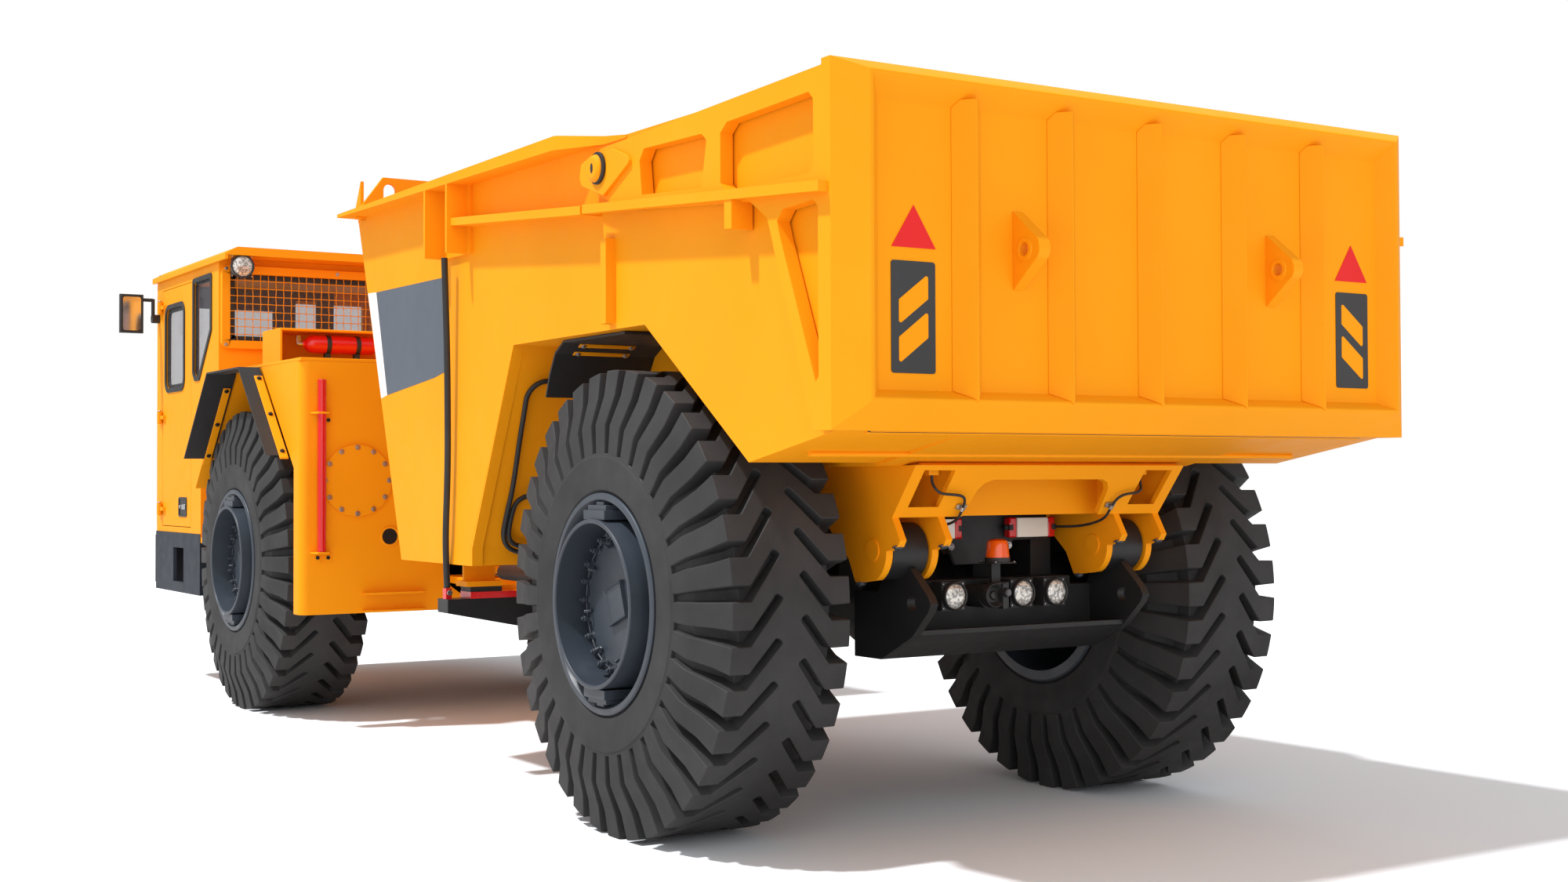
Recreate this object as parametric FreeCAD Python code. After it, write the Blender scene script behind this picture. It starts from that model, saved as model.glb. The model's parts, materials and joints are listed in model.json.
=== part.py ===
# Articulated mining truck, in millimetres, with +X forward, +Y left and +Z up.
# Shapes are drawn from the ground under the middle of the rear axle. They are moved
# as they are written out, so that the origin lies under the middle of the whole truck.
import FreeCAD
import Part
import math
import os

# ---------------------------------------------------------------- driving dimensions
tyre_radius = 1025            # over the lugs
tyre_half_width = 343.5       # over the side walls' lugs
tread_half_width = 280
wheel_track = 2463            # between the middles of the left and right tyres
rim_radius = 486
rim_half_width = 346.5        # over the flanges
rim_flange = 20
rim_wall = 20
bead_radius = 450
rim_ring_radius = 372         # ring that stands out round the hub
rim_ring_end = 393.5
hub_face = 256.5              # outer face of the wheel disc, from the tyre's middle
hub_radius = 200
wheelbase = 5594

# The front half is drawn for this wheelbase, and moves as a whole with another one.
drawn_wheelbase = 5594
front_shift = wheelbase - drawn_wheelbase

body_half_width = 1470        # outside of the load body's side walls
wall = 25                     # plate of the load body
well_half_width = 860         # the body's lower part, between the rear tyres
gate_half_width = body_half_width + 66    # over the tailgate's arms
gate_rear_x = -1762           # rear plane of the tailgate's outer edge
gate_bottom_z = 1743
gate_top_z = 3098
gate_pin_z = 2940
gate_pin_radius = 55
gate_lug_y = 685
gate_lug_z = 2437
gate_lug_half = 27
gate_lug_radius = 55
gate_lug_hole_radius = 26

hinge_x = -860                # tipping hinge of the load body
hinge_z = 1260
hinge_pin_radius = 60
hinge_boss_radius = 120
ear_radius = 132
ear_inner_y = 475              # inner faces of the two hinge ears on each side
ear_outer_y = 713
ear_plate = 34
ear_skin = 8                  # left over the ends of the hinge pins, in the ears' outer faces
ear_top = (-1203, 1622)       # rear edge of the ears and of the slope plates between them
ear_corner = (-1034, 1405)

hitch_drawn_x = 3100          # articulation hitch between the two frames
hitch_x = hitch_drawn_x + front_shift
hitch_pin_radius = 50
hitch_plate = 54
hitch_ear_radius = 150
hitch_top_z = 1030            # between the rear frame's upper and lower ears
hitch_bottom_z = 810
hitch_gap = 0.5               # between the hitch plates of the two frames
front_wall_x = 4250           # rear face of the front frame's tanks
frame_half_width = 1537
tank_corner = 60
tank_bottom_z = 720
tank_inner_y = 550
front_wall_depth = 200        # of the wall between the tanks
front_wall_low_z = 1200
deck_z = 2350
fender_line = [(4386, 1650), (5102, deck_z), (5889, deck_z), (6709, 1530)]
fender_plate = 20
flap_edge_y = 1680            # outer edge of the rubber flap under the fender

rail_inner_y = 330            # both frames' rails
rail_outer_y = 450
rail_top_z = 1380
cross_beam_x = -760           # rear face of the rear frame's cross box
rail_rear_x = -630            # rear end of the rails' upper part, and the shelf before it
shelf_top_z = 1120
lamp_plate_x = -675           # rear face of the body's plate that carries the tail lamps
tow_hole_radius = 32
tow_hole_x = -984
tow_hole_z = 1042
tow_plate_y = 572
tow_plate = 40
rest_x0, rest_x1 = 1930, 2070 # outriggers that carry the resting body
rest_top = 1003               # underside of the resting body's shelf
axle_z = tyre_radius
axle_tube_radius = 170
spindle_radius = 90

cab_left_y = 1450
cab_right_y = -350
cab_front_x = 8170
cab_rear_x = 6400
cab_floor_z = 1150
cab_roof_z = 3200
cab_wall = 40
roof_rear_x = 6130             # the roof reaches back over the guard and the work lamp
roof_overhang = 30
roof_rise = 60
hood_top_z = 2250
bumper_front_x = 8250
skirt_bottom_z = 710

# Hoist cylinders: lower pin on the rear frame, upper pin under the load body.
hoist_y = 740
hoist_foot = (1550, 750)
hoist_head = (90, 1460)
hoist_pin_radius = 35
hoist_barrel_radius = 90
hoist_barrel_length = 1250
hoist_rod_radius = 40
hoist_eye_half = 42

# Steering cylinders: rear pin on the rear frame, front pin on the front frame.
steer_z = 1000
steer_foot = (hitch_x - 650, 550)
steer_head = (hitch_x + 750, 500)
steer_pin_radius = 25
steer_barrel_radius = 50
steer_barrel_length = 960
steer_rod_radius = 32
steer_eye_half = 52
bracket_plate = 30            # plates each side of a cylinder's eye

running_gap = 0.05            # radial clearance of a pin or rod in its bore
door_gap = 5                  # open gap round the cab door
body_gap = 5                  # between plates that slide past each other
eye_gap = 5                   # each side of a cylinder's eye
seat_gap = 0.3                # between pieces that rest against each other

front_end_x = bumper_front_x + front_shift
lug_nose_x = -1945
origin_x = (front_end_x + lug_nose_x) / 2
wheel_y = wheel_track / 2


# ---------------------------------------------------------------- shape helpers
def V(x, y, z):
    return FreeCAD.Vector(x, y, z)


def block(x0, x1, y0, y1, z0, z1):
    return Part.makeBox(x1 - x0, y1 - y0, z1 - z0, V(x0, y0, z0))


def outline_face(corners):
    return Part.Face(Part.makePolygon(corners + corners[:1]))


def side_plate(outline, y0, y1):
    """A plate whose (x, z) outline is extruded across the truck."""
    face = outline_face([V(x, y0, z) for x, z in outline])
    return face.extrude(V(0, y1 - y0, 0))


def flat_plate(outline, z0, z1):
    """A plate whose (x, y) outline is extruded upwards."""
    face = outline_face([V(x, y, z0) for x, y in outline])
    return face.extrude(V(0, 0, z1 - z0))


def cross_plate(outline, x0, x1):
    """A plate whose (y, z) outline is extruded along the truck."""
    face = outline_face([V(x0, y, z) for y, z in outline])
    return face.extrude(V(x1 - x0, 0, 0))


def bar_x(y, z, radius, x0, x1):
    return Part.makeCylinder(radius, x1 - x0, V(x0, y, z), V(1, 0, 0))


def bar_y(x, z, radius, y0, y1):
    return Part.makeCylinder(radius, y1 - y0, V(x, y0, z), V(0, 1, 0))


def bar_z(x, y, radius, z0, z1):
    return Part.makeCylinder(radius, z1 - z0, V(x, y, z0), V(0, 0, 1))


def bar_between(start, end, radius):
    run = end.sub(start)
    return Part.makeCylinder(radius, run.Length, start, run)


def joined(shapes):
    shape = shapes[0].fuse(shapes[1:])
    return shape.removeSplitter()


def mirrored(shape):
    return shape.mirror(V(0, 0, 0), V(0, 1, 0))


def pair(shape):
    return [shape, mirrored(shape)]


def offset_line(line, distance):
    """Moves an open line to its right side, with mitred corners."""
    normals = []
    for (xa, za), (xb, zb) in zip(line, line[1:]):
        length = math.hypot(xb - xa, zb - za)
        normals.append(((zb - za) / length, -(xb - xa) / length))
    normals = [normals[0]] + normals + [normals[-1]]
    moved = []
    for (x, z), (ax, az), (bx, bz) in zip(line, normals, normals[1:]):
        share = distance / (1 + ax * bx + az * bz)
        moved.append((x + (ax + bx) * share, z + (az + bz) * share))
    return moved


def bent_plate(line, thickness, y0, y1):
    """A plate that follows an open (x, z) line, its thickness on the line's right side."""
    return side_plate(line + offset_line(line, thickness)[::-1], y0, y1)


def offset_outline(outline, distances):
    """Moves each edge of a counter-clockwise outline inwards by its own distance."""
    count = len(outline)
    lines = []
    for i in range(count):
        (xa, za), (xb, zb) = outline[i], outline[(i + 1) % count]
        length = math.hypot(xb - xa, zb - za)
        nx, nz = -(zb - za) / length, (xb - xa) / length
        lines.append((nx, nz, nx * xa + nz * za + distances[i]))
    corners = []
    for i in range(count):
        a1, b1, c1 = lines[i - 1]
        a2, b2, c2 = lines[i]
        det = a1 * b2 - a2 * b1
        corners.append(((c1 * b2 - c2 * b1) / det, (a1 * c2 - a2 * c1) / det))
    return corners


def rounded_edges(shape, radius, wanted):
    edges = [e for e in shape.Edges if wanted(e)]
    return shape.makeFillet(radius, edges)


def write(name, shapes):
    if not isinstance(shapes, list):
        shapes = [shapes]
    solids = [solid for shape in shapes for solid in shape.Solids]
    whole = solids[0] if len(solids) == 1 else Part.makeCompound(solids)
    whole = whole.copy()
    whole.translate(V(-origin_x, 0, 0))
    if not whole.isValid():
        print("not valid:", name)
    whole.exportStep(f"parts/{name}.step")
    print(name, len(solids), "solids", round(whole.Volume / 1e9, 4), "m3")


def write_front(name, shapes):
    """Writes a piece of the front half, moved to the wheelbase."""
    if not isinstance(shapes, list):
        shapes = [shapes]
    write(name, [shape.translated(V(front_shift, 0, 0)) for shape in shapes])


os.makedirs("parts", exist_ok=True)

# ---------------------------------------------------------------- load body outline
floor_tail_z = 1745
floor_mid_z = 1620
nose_floor_z = 1125
body_rear_x = -1700
arch = [(-1081, 1633), (-219, 2236), (1148, 2234), (1688, 1214)]
nose_rear_x = 1688
nose_front_x = 2669
rim_front_x = 3378
rim_front_z = 3121
rim_rear_z = 3070

body_side = [(body_rear_x, floor_tail_z)] + arch + [
    (nose_rear_x, nose_floor_z), (nose_front_x, nose_floor_z),
    (rim_front_x, rim_front_z), (body_rear_x, rim_rear_z)]
well_side = [(body_rear_x, floor_tail_z), (-1100, floor_mid_z), (1400, floor_mid_z),
             (nose_rear_x + 20, nose_floor_z), (nose_front_x, nose_floor_z),
             (rim_front_x, rim_front_z), (body_rear_x, rim_rear_z)]

# Ports of the left arch's two hoses: the long one's upper, the short one's upper, and both lower ones.
hose_ports = [(1180, 1254, 1050, 1100, 2035, 2085), (1478, 1556, 1105, 1150, 1470, 1506),
              (1618, 1695, 1075, 1124, 1165, 1240)]
# Sockets of the tail lamps' leads, under the body's floor.
lead_sockets = [(-1124, -1092, 572, 622, 1581, 1630), (-1129, -1097, -590, -538, 1581, 1630)]
lead_clip_half_width = 22

# ---------------------------------------------------------------- load body
def slope_point(along, out):
    """A point on the slope plate, from its lower edge along and out of its rear face."""
    run_x, run_z = ear_top[0] - ear_corner[0], ear_top[1] - ear_corner[1]
    length = math.hypot(run_x, run_z)
    run_x, run_z = run_x / length, run_z / length
    return (ear_corner[0] + along * run_x - out * run_z, ear_corner[1] + along * run_z + out * run_x)


def ear_outline():
    """The hinge ear, from the body's floor down round the hinge, with a bolting tab over and under it."""
    arc = [math.radians(a) for a in range(178, 246, 11)]
    return ([(-250, floor_mid_z), ear_top, ear_corner, (-1090, 1312), (-1072, 1285)]
            + [(hinge_x + ear_radius * math.cos(a), hinge_z + ear_radius * math.sin(a)) for a in arc]
            + [(-805, 1128), (-764, 1126), (-711, 1227)])


def load_body():
    outer = joined([side_plate(body_side, -body_half_width, body_half_width),
                    side_plate(well_side, -well_half_width, well_half_width)])
    open_rear = 100
    open_top = 400
    wide_hollow = offset_outline(body_side, [wall] * 7 + [-open_top, -open_rear])
    well_hollow = offset_outline(well_side, [wall] * 5 + [-open_top, -open_rear])
    inner_half = body_half_width - wall
    well_half = well_half_width - wall
    hollow = joined([side_plate(wide_hollow, -inner_half, inner_half),
                     side_plate(well_hollow, -well_half, well_half)])
    shell = outer.cut(hollow)
    pieces = [shell]
    # Headboard over the front wall, with cut corners and a lifting hole at each end.
    head_top = 3360
    head_end, head_corner = body_half_width + 70, body_half_width - 100
    head = [(-head_end, 3110), (-head_end, 3130), (-head_corner, head_top), (head_corner, head_top),
            (head_end, 3130), (head_end, 3110)]
    board = cross_plate(head, 3230, 3230 + wall)
    slot_y, slot_radius, slot_z0, slot_z1 = body_half_width - 140, 38, 3230, 3285
    for y in (-slot_y, slot_y):
        slot = block(3200, 3300, y - slot_radius, y + slot_radius, slot_z0, slot_z1)
        for z in (slot_z0, slot_z1):
            slot = slot.fuse(bar_x(y, z, slot_radius, 3200, 3300))
        board = board.cut(slot)
    pieces.append(board)
    pieces.append(block(3200, 3380, -body_half_width, body_half_width, 3100, 3125))
    for y in (-body_half_width - 30, -700, 0, 700, body_half_width + 10):
        pieces.append(side_plate([(3255, 3100), (3378, 3121), (3255, 3330)], y, y + 20))
    # Top lip, the side rails and the ribs under them.
    lip = [(3378, 3121), (3378, 3141), (400, 3141), (-60, 3085), (-60, 3070), (370, 3075)]
    rail_front = [(1690, 2880), (1690, 2920), (185, 2793), (185, 2753)]
    inner = body_half_width - 5
    lip_edge = body_half_width + 130
    lip_plan = [(-60, inner), (3378, inner), (3378, lip_edge), (420, lip_edge),
                (150, body_half_width + 6), (-60, body_half_width + 6)]
    lip_plate = side_plate(lip, inner, lip_edge).common(flat_plate(lip_plan, 3000, 3200))
    stiffener = [(60, 2260), (60, 2640), (112, 2640), (112, 2260)]
    bracket_x0, bracket_x1, bracket_z0, bracket_z1 = 1650, 2050, 2740, 3125
    for plate in (lip_plate,
                  side_plate(rail_front, inner, lip_edge - 20),
                  side_plate(stiffener, inner, body_half_width + 45),
                  block(bracket_x0, bracket_x1, inner, body_half_width + 20, bracket_z0, bracket_z1),
                  block(bracket_x0 + 40, bracket_x0 + 60, inner, lip_edge, bracket_z0, bracket_z1),
                  block(bracket_x1 - 60, bracket_x1 - 40, inner, lip_edge, bracket_z0, bracket_z1)):
        pieces += pair(plate)
    # Shelf that comes to rest on the rear frame's pad.
    for plate in (block(1925, 2075, 1190, 1390, rest_top, rest_top + 28),
                  block(1990, 2010, 1200, 1380, rest_top + 20, nose_floor_z + 5)):
        pieces += pair(plate)
    # Outside flange along the front of each wheel arch.
    for plate in (side_plate([(1148, 2234), (1668, 1214), (1668, nose_floor_z), (1700, nose_floor_z),
                              (1700, 1220), (1180, 2240)], body_half_width - 60, body_half_width - 1),):
        pieces += pair(plate)
    pieces += [block(*port) for port in hose_ports]
    # Pin of the tailgate's arm on each side.
    pieces += pair(bar_y(0, gate_pin_z, gate_pin_radius, body_half_width - 10, gate_half_width))
    return joined(pieces)


def body_underframe():
    """The hinge ears, the long members and the hoist brackets under the load body."""
    pieces = []
    for y in (ear_inner_y, ear_outer_y):
        pieces += pair(side_plate(ear_outline(), y, y + ear_plate))
    # Discs on the ears' sides, the sloping plate that joins the ears, and a cross plate before it.
    disc_x, disc_z, disc_radius, disc_rise = -895, 1266, 46, 6
    for y in (ear_inner_y - disc_rise, ear_outer_y + ear_plate - 1):
        pieces += pair(bar_y(disc_x, disc_z, disc_radius, y, y + disc_rise + 1))
    slope = side_plate([ear_top, ear_corner, (-1014, 1420), (-1179, 1632)],
                       -ear_outer_y - 1, ear_outer_y + 1)
    for opening in pair(block(-1300, -900, ear_inner_y + 55, ear_outer_y - 23, 1448, 1601)):
        slope = slope.cut(opening)
    arch = [(-384, 1390), (-366, 1518), (-343, 1547), (-305, 1561)]
    slope = slope.cut(cross_plate(arch + [(-y, z) for y, z in arch[::-1]], -1300, -900))
    pieces.append(slope)
    # Clips of the lamps' leads on the slope, and the sockets behind its openings.
    clip = [slope_point(along, out) for along, out in ((49, -2), (71, -2), (71, 10), (49, 10))]
    pieces += pair(side_plate(clip, 418 - lead_clip_half_width, 418 + lead_clip_half_width))
    pieces += [block(*socket) for socket in lead_sockets]
    pieces.append(block(-930, -905, -ear_inner_y, ear_inner_y, 1406, floor_mid_z + 5))
    # Long members under the floor, over the frame's rails.
    for y0, y1 in ((360, 385), (415, 440)):
        pieces += pair(block(-640, 1400, y0, y1, rail_top_z + body_gap, floor_mid_z + 5))
    # Brackets of the hoist cylinders' upper pins.
    hx, hz = hoist_head
    bracket = [(hx - 160, floor_mid_z + 5), (hx - 70, hz - 60), (hx, hz - 80), (hx + 70, hz - 60),
               (hx + 160, floor_mid_z + 5)]
    reach = hoist_eye_half + eye_gap
    for y in (hoist_y - reach - bracket_plate, hoist_y + reach):
        pieces += pair(side_plate(bracket, y, y + bracket_plate))
    for y in (hoist_y - reach - 45, hoist_y + reach + 15):
        pieces += pair(bar_y(hx, hz, hoist_pin_radius, y, y + bracket_plate))
    frame = joined(pieces)
    for hole in pair(bar_y(hinge_x, hinge_z, hinge_pin_radius + running_gap, ear_inner_y + ear_skin,
                           ear_outer_y + ear_plate - ear_skin)):
        frame = frame.cut(hole)
    return frame.cut(side_plate(well_side, -body_half_width, body_half_width))


body_shape = load_body()
write("load_body", body_shape)
write("body_underframe", body_underframe())


# ---------------------------------------------------------------- tailgate with its two arms
gate_panel_x = -1785          # rear face of the sheet inside the tailgate's border
gate_ridge_x = -1850


def gate_loop(x, y, z0, z1):
    """A rectangle across the tailgate, at x, for a loft."""
    return Part.makePolygon([V(x, -y, z0), V(x, y, z0), V(x, y, z1), V(x, -y, z1), V(x, -y, z0)])


def tailgate():
    """The sheet in its raised border, with an arm beside the body on each side."""
    front_face = body_rear_x - body_gap
    inner_y0 = body_half_width + body_gap + 3
    half = gate_half_width
    ridge_half, ridge_z0, ridge_z1 = half - 119, gate_bottom_z + 105, gate_top_z - 50
    ridge_flat = 12
    border = Part.makeLoft([gate_loop(gate_rear_x, half, gate_bottom_z, gate_top_z),
                            gate_loop(gate_ridge_x, ridge_half, ridge_z0, ridge_z1)], True, True)
    pocket = Part.makeLoft([gate_loop(gate_ridge_x, ridge_half - ridge_flat, ridge_z0 + ridge_flat,
                                      ridge_z1 - ridge_flat),
                            gate_loop(gate_panel_x, half - 192, 1892, 2958)], True, True)
    gate = block(gate_rear_x, front_face, -half, half, gate_bottom_z, gate_top_z).fuse(border).cut(pocket)
    pieces = [gate]
    # Arms beside the body, from the gate forward to the pins.
    arm = [(gate_rear_x + 10, gate_bottom_z), (gate_rear_x + 10, gate_top_z), (body_rear_x, 3075),
           (70, 3035), (120, 2940), (90, 2830), (-150, 2740), (-1200, 2640), (-1330, 2560),
           (-1640, gate_bottom_z)]
    pocket_a = [(-300, 2930), (-320, 2780), (-830, 2740), (-870, 2930), (-830, 2960), (-340, 2975)]
    pocket_b = [(-980, 2940), (-980, 2740), (-1030, 2700), (-1620, 2690), (-1650, 2720), (-1650, 2960),
                (-1620, 2990), (-1030, 2975)]
    pocket_c = [(-1400, 2540), (-1420, 2480), (-1660, 1920), (-1680, 1940), (-1680, 2560), (-1650, 2590),
                (-1440, 2580)]
    plate = side_plate(arm, inner_y0, gate_half_width)
    for hole in (pocket_a, pocket_b, pocket_c):
        plate = plate.cut(side_plate(hole, inner_y0 - 10, gate_half_width + 10))
    plate = plate.cut(bar_y(0, gate_pin_z, gate_pin_radius + running_gap, inner_y0 - 10, half + 10))
    rail_rear = [(165, 2755), (165, 2795), (gate_rear_x + 15, 2645), (gate_rear_x + 15, 2605)]
    rail = side_plate(rail_rear, gate_half_width - 5, body_half_width + 110)
    hanger = side_plate([(-1130, 2540), (-1130, 2665), (-1075, 2670), (-1075, 2545)], inner_y0,
                        body_half_width + 105)
    pieces += pair(plate) + pair(rail) + pair(hanger)
    return joined(pieces)


def gate_ribs(gate):
    """Upright ribs of three sides, which run out on the slopes of the tailgate's border."""
    half_width, ridge_x = 72, -1860
    ribs = []
    for y in (-937, -469, 0, 469, 937):
        rib = flat_plate([(gate_panel_x, y - half_width), (gate_panel_x, y + half_width), (ridge_x, y)],
                         1852, 2988)
        ribs.append(rib.cut(gate))
    return ribs


def gate_lugs():
    nose_x = lug_nose_x + gate_lug_radius
    lug_y0, lug_y1 = gate_lug_y - gate_lug_half, gate_lug_y + gate_lug_half
    lug = side_plate([(gate_panel_x, gate_lug_z - 152), (nose_x - 25, gate_lug_z - 49),
                      (nose_x - 25, gate_lug_z + 49), (gate_panel_x, gate_lug_z + 153)], lug_y0, lug_y1)
    lug = lug.fuse(bar_y(nose_x, gate_lug_z, gate_lug_radius, lug_y0, lug_y1))
    hole_x, boss_radius, boss_rise = nose_x + 35, 44, 5
    lug = lug.fuse(bar_y(hole_x, gate_lug_z, boss_radius, lug_y0 - boss_rise, lug_y1 + boss_rise))
    return pair(lug.cut(bar_y(hole_x, gate_lug_z, gate_lug_hole_radius, lug_y0 - 10, lug_y1 + 10)))


tailgate_shape = tailgate()
write("tailgate", tailgate_shape)
write("gate_ribs", gate_ribs(tailgate_shape))
write("gate_lugs", gate_lugs())


# ---------------------------------------------------------------- rear frame
def rail_outline(x0, x1, foot_z, low_top_z, arch_x, half_arch):
    """A frame rail that rises over the axle at arch_x."""
    arch_under_z = axle_z + 220
    return [(x0, foot_z), (arch_x - half_arch - 150, foot_z), (arch_x - half_arch, arch_under_z),
            (arch_x + half_arch, arch_under_z), (arch_x + half_arch + 150, foot_z), (x1, foot_z),
            (x1, low_top_z)]


def rear_frame():
    pieces = []
    rail = rail_outline(cross_beam_x, hitch_x - 700, 800, 1080, 0, 330)
    rail += [(760, 1080), (560, rail_top_z), (rail_rear_x, rail_top_z), (rail_rear_x, shelf_top_z),
             (cross_beam_x, shelf_top_z)]
    pieces += pair(side_plate(rail, rail_inner_y, rail_outer_y))
    # Tail: cross box, bumper plate, side plates with tow eyes, hinge bosses.
    tail_half = tow_plate_y + tow_plate
    pieces.append(block(cross_beam_x, -560, -tail_half, tail_half, 800, 1080))
    pieces.append(block(cross_beam_x, cross_beam_x + 120, -455, 455, 1060, shelf_top_z))
    lip = [(-985, 905), (-985, 925), (-940, 925), (-760, 830), (-560, 810), (-560, 790), (-760, 790),
           (-940, 880)]
    pieces.append(side_plate(lip, -tail_half, tail_half))
    tow = [(-560, 800), (-760, 790), (-985, 900), (-1100, 1010), (-1118, 1042), (-1100, 1075), (-972, 1190),
           (-790, 1190), (-740, 1080), (-560, 1080)]
    pieces += pair(side_plate(tow, tow_plate_y, tow_plate_y + tow_plate))
    boss_y0, boss_y1 = ear_inner_y + ear_plate + 11, ear_outer_y - 11
    pieces += pair(bar_y(hinge_x, hinge_z, hinge_boss_radius, boss_y0, boss_y1))
    # Cross members, the outriggers that carry the resting body, and the hitch plates.
    pieces.append(block(700, 820, -rail_inner_y, rail_inner_y, 820, 1060))
    pieces.append(block(1900, 2100, -rail_outer_y, rail_outer_y, 800, 1080))
    outrigger = cross_plate([(400, 760), (1080, 783), (1495, 868), (1495, 940), (1100, 940), (400, 1060)],
                            rest_x0, rest_x1)
    pieces += pair(outrigger)
    tongue = [(hitch_x - 800, -rail_outer_y), (hitch_x - 200, -220), (hitch_x - 200, 220),
              (hitch_x - 800, rail_outer_y)]
    pieces.append(flat_plate(tongue, 800, 1080))
    ear = [(hitch_x - 250, -235), (hitch_x, -hitch_ear_radius), (hitch_x, hitch_ear_radius),
           (hitch_x - 250, 235)]
    for z in (hitch_top_z, hitch_bottom_z - hitch_plate):
        plate = flat_plate(ear, z, z + hitch_plate)
        pieces += [plate, bar_z(hitch_x, 0, hitch_ear_radius, z, z + hitch_plate)]
    pieces.append(bar_z(hitch_x, 0, hitch_pin_radius, hitch_bottom_z - hitch_plate - 20,
                        hitch_top_z + hitch_plate + 15))
    # Brackets of the steering cylinders' rear pins and of the hoist cylinders' lower pins.
    sx, sy = steer_foot
    reach = steer_eye_half + eye_gap
    bracket = [(sx - 200, 300), (sx - 20, 300), (sx - 20, sy - 70), (sx + 42, sy - 20), (sx + 42, sy + 10),
               (sx, sy + 50), (sx - 60, sy + 20)]
    for z in (steer_z - reach - bracket_plate, steer_z + reach):
        pieces += pair(flat_plate(bracket, z, z + bracket_plate))
    pieces += pair(bar_z(sx, sy, steer_pin_radius, steer_z - reach - 45, steer_z + reach + 40))
    hx, hz = hoist_foot
    reach = hoist_eye_half + eye_gap
    pieces += pair(block(hx + 95, hx + 180, rail_outer_y - 5, hoist_y + reach + 45, 640, 900))
    foot = [(hx - 40, hz - 35), (hx + 160, hz - 100), (hx + 160, hz + 140), (hx + 20, hz + 110),
            (hx - 35, hz + 30)]
    for y in (hoist_y - reach - bracket_plate, hoist_y + reach):
        pieces += pair(side_plate(foot, y, y + bracket_plate))
    pieces += pair(bar_y(hx, hz, hoist_pin_radius, hoist_y - reach - 40, hoist_y + reach + 40))
    frame = joined(pieces)
    for hole in pair(bar_y(tow_hole_x, tow_hole_z, tow_hole_radius, tow_plate_y - 10, tail_half + 10)):
        frame = frame.cut(hole)
    for hole in pair(bar_y(hinge_x, hinge_z, hinge_pin_radius, boss_y0 - 5, boss_y1 + 5)):
        frame = frame.cut(hole)
    return frame


write("rear_frame", rear_frame())
pin_y0 = ear_inner_y + ear_skin + seat_gap
pin_y1 = ear_outer_y + ear_plate - ear_skin - seat_gap
write("hinge_pins", pair(bar_y(hinge_x, hinge_z, hinge_pin_radius, pin_y0, pin_y1)))


# ---------------------------------------------------------------- axles
def axle(x):
    """A drive axle: tubes, differential case, seats under the rails and a spindle at each end."""
    reach = wheel_y - 52
    spindle_end = wheel_y + hub_face - 40
    tube = bar_y(x, axle_z, axle_tube_radius, -reach, reach)
    case_radius, case_half = 300, rail_inner_y - 5
    case = Part.makeSphere(case_radius, V(x, 0, axle_z))
    case = case.common(block(x - case_radius, x + case_radius, -case_half, case_half, 0, 2 * axle_z))
    spindles = bar_y(x, axle_z, spindle_radius, -spindle_end, spindle_end)
    seats = pair(block(x - 200, x + 200, rail_inner_y, rail_outer_y, axle_z, axle_z + 220))
    return joined([tube, case, spindles] + seats)


write("rear_axle", axle(0))
write("front_axle", axle(wheelbase))


# ---------------------------------------------------------------- wheels
def ring(profile, side):
    """Turns an (across, radius) outline round the wheel's axle; across grows outwards."""
    corners = [V(0, side * across, radius) for across, radius in profile]
    return outline_face(corners).revolve(V(0, 0, 0), V(0, 1, 0), 360)


def rim(side):
    half, flange = rim_half_width, rim_half_width - rim_flange
    seat = bead_radius - seat_gap
    inside = bead_radius - rim_wall
    barrel = [(-half, inside), (-half, rim_radius), (-flange, rim_radius), (-flange, seat), (flange, seat),
              (flange, rim_radius), (half, rim_radius), (half, rim_radius - 30), (half - 45, inside)]
    bore = spindle_radius + running_gap
    disc = [(hub_face - 25, bore), (hub_face - 25, inside + 2), (hub_face, inside + 2), (hub_face, bore)]
    lip = [(hub_face - 5, rim_ring_radius - 19), (hub_face - 5, rim_ring_radius),
           (rim_ring_end, rim_ring_radius), (rim_ring_end, rim_ring_radius - 19)]
    hub = [(-40, bore), (-40, hub_radius), (hub_face, hub_radius), (hub_face, 0), (hub_face - 25, 0),
           (hub_face - 25, bore)]
    return joined([ring(barrel, side), ring(disc, side), ring(lip, side), ring(hub, side)])


def tyre(side):
    bead = rim_half_width - rim_flange - 0.5
    half = [(bead, bead_radius), (bead, rim_radius + 4), (rim_half_width - 8, rim_radius + 14),
            (tyre_half_width + 5, 640), (tyre_half_width, 665), (tyre_half_width, 785),
            (tyre_half_width - 45, 915), (tread_half_width, tyre_radius)]
    section = half + [(-across, radius) for across, radius in half[::-1]]
    return ring(section, side)


wheels = {"rear_left": (0, 1), "rear_right": (0, -1),
          "front_left": (wheelbase, 1), "front_right": (wheelbase, -1)}
for place, (axle_x, side) in wheels.items():
    for kind, shape in (("rim", rim(side)), ("tyre", tyre(side))):
        shape.translate(V(axle_x, side * wheel_y, axle_z))
        write(f"{kind}_{place}", shape)


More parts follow.
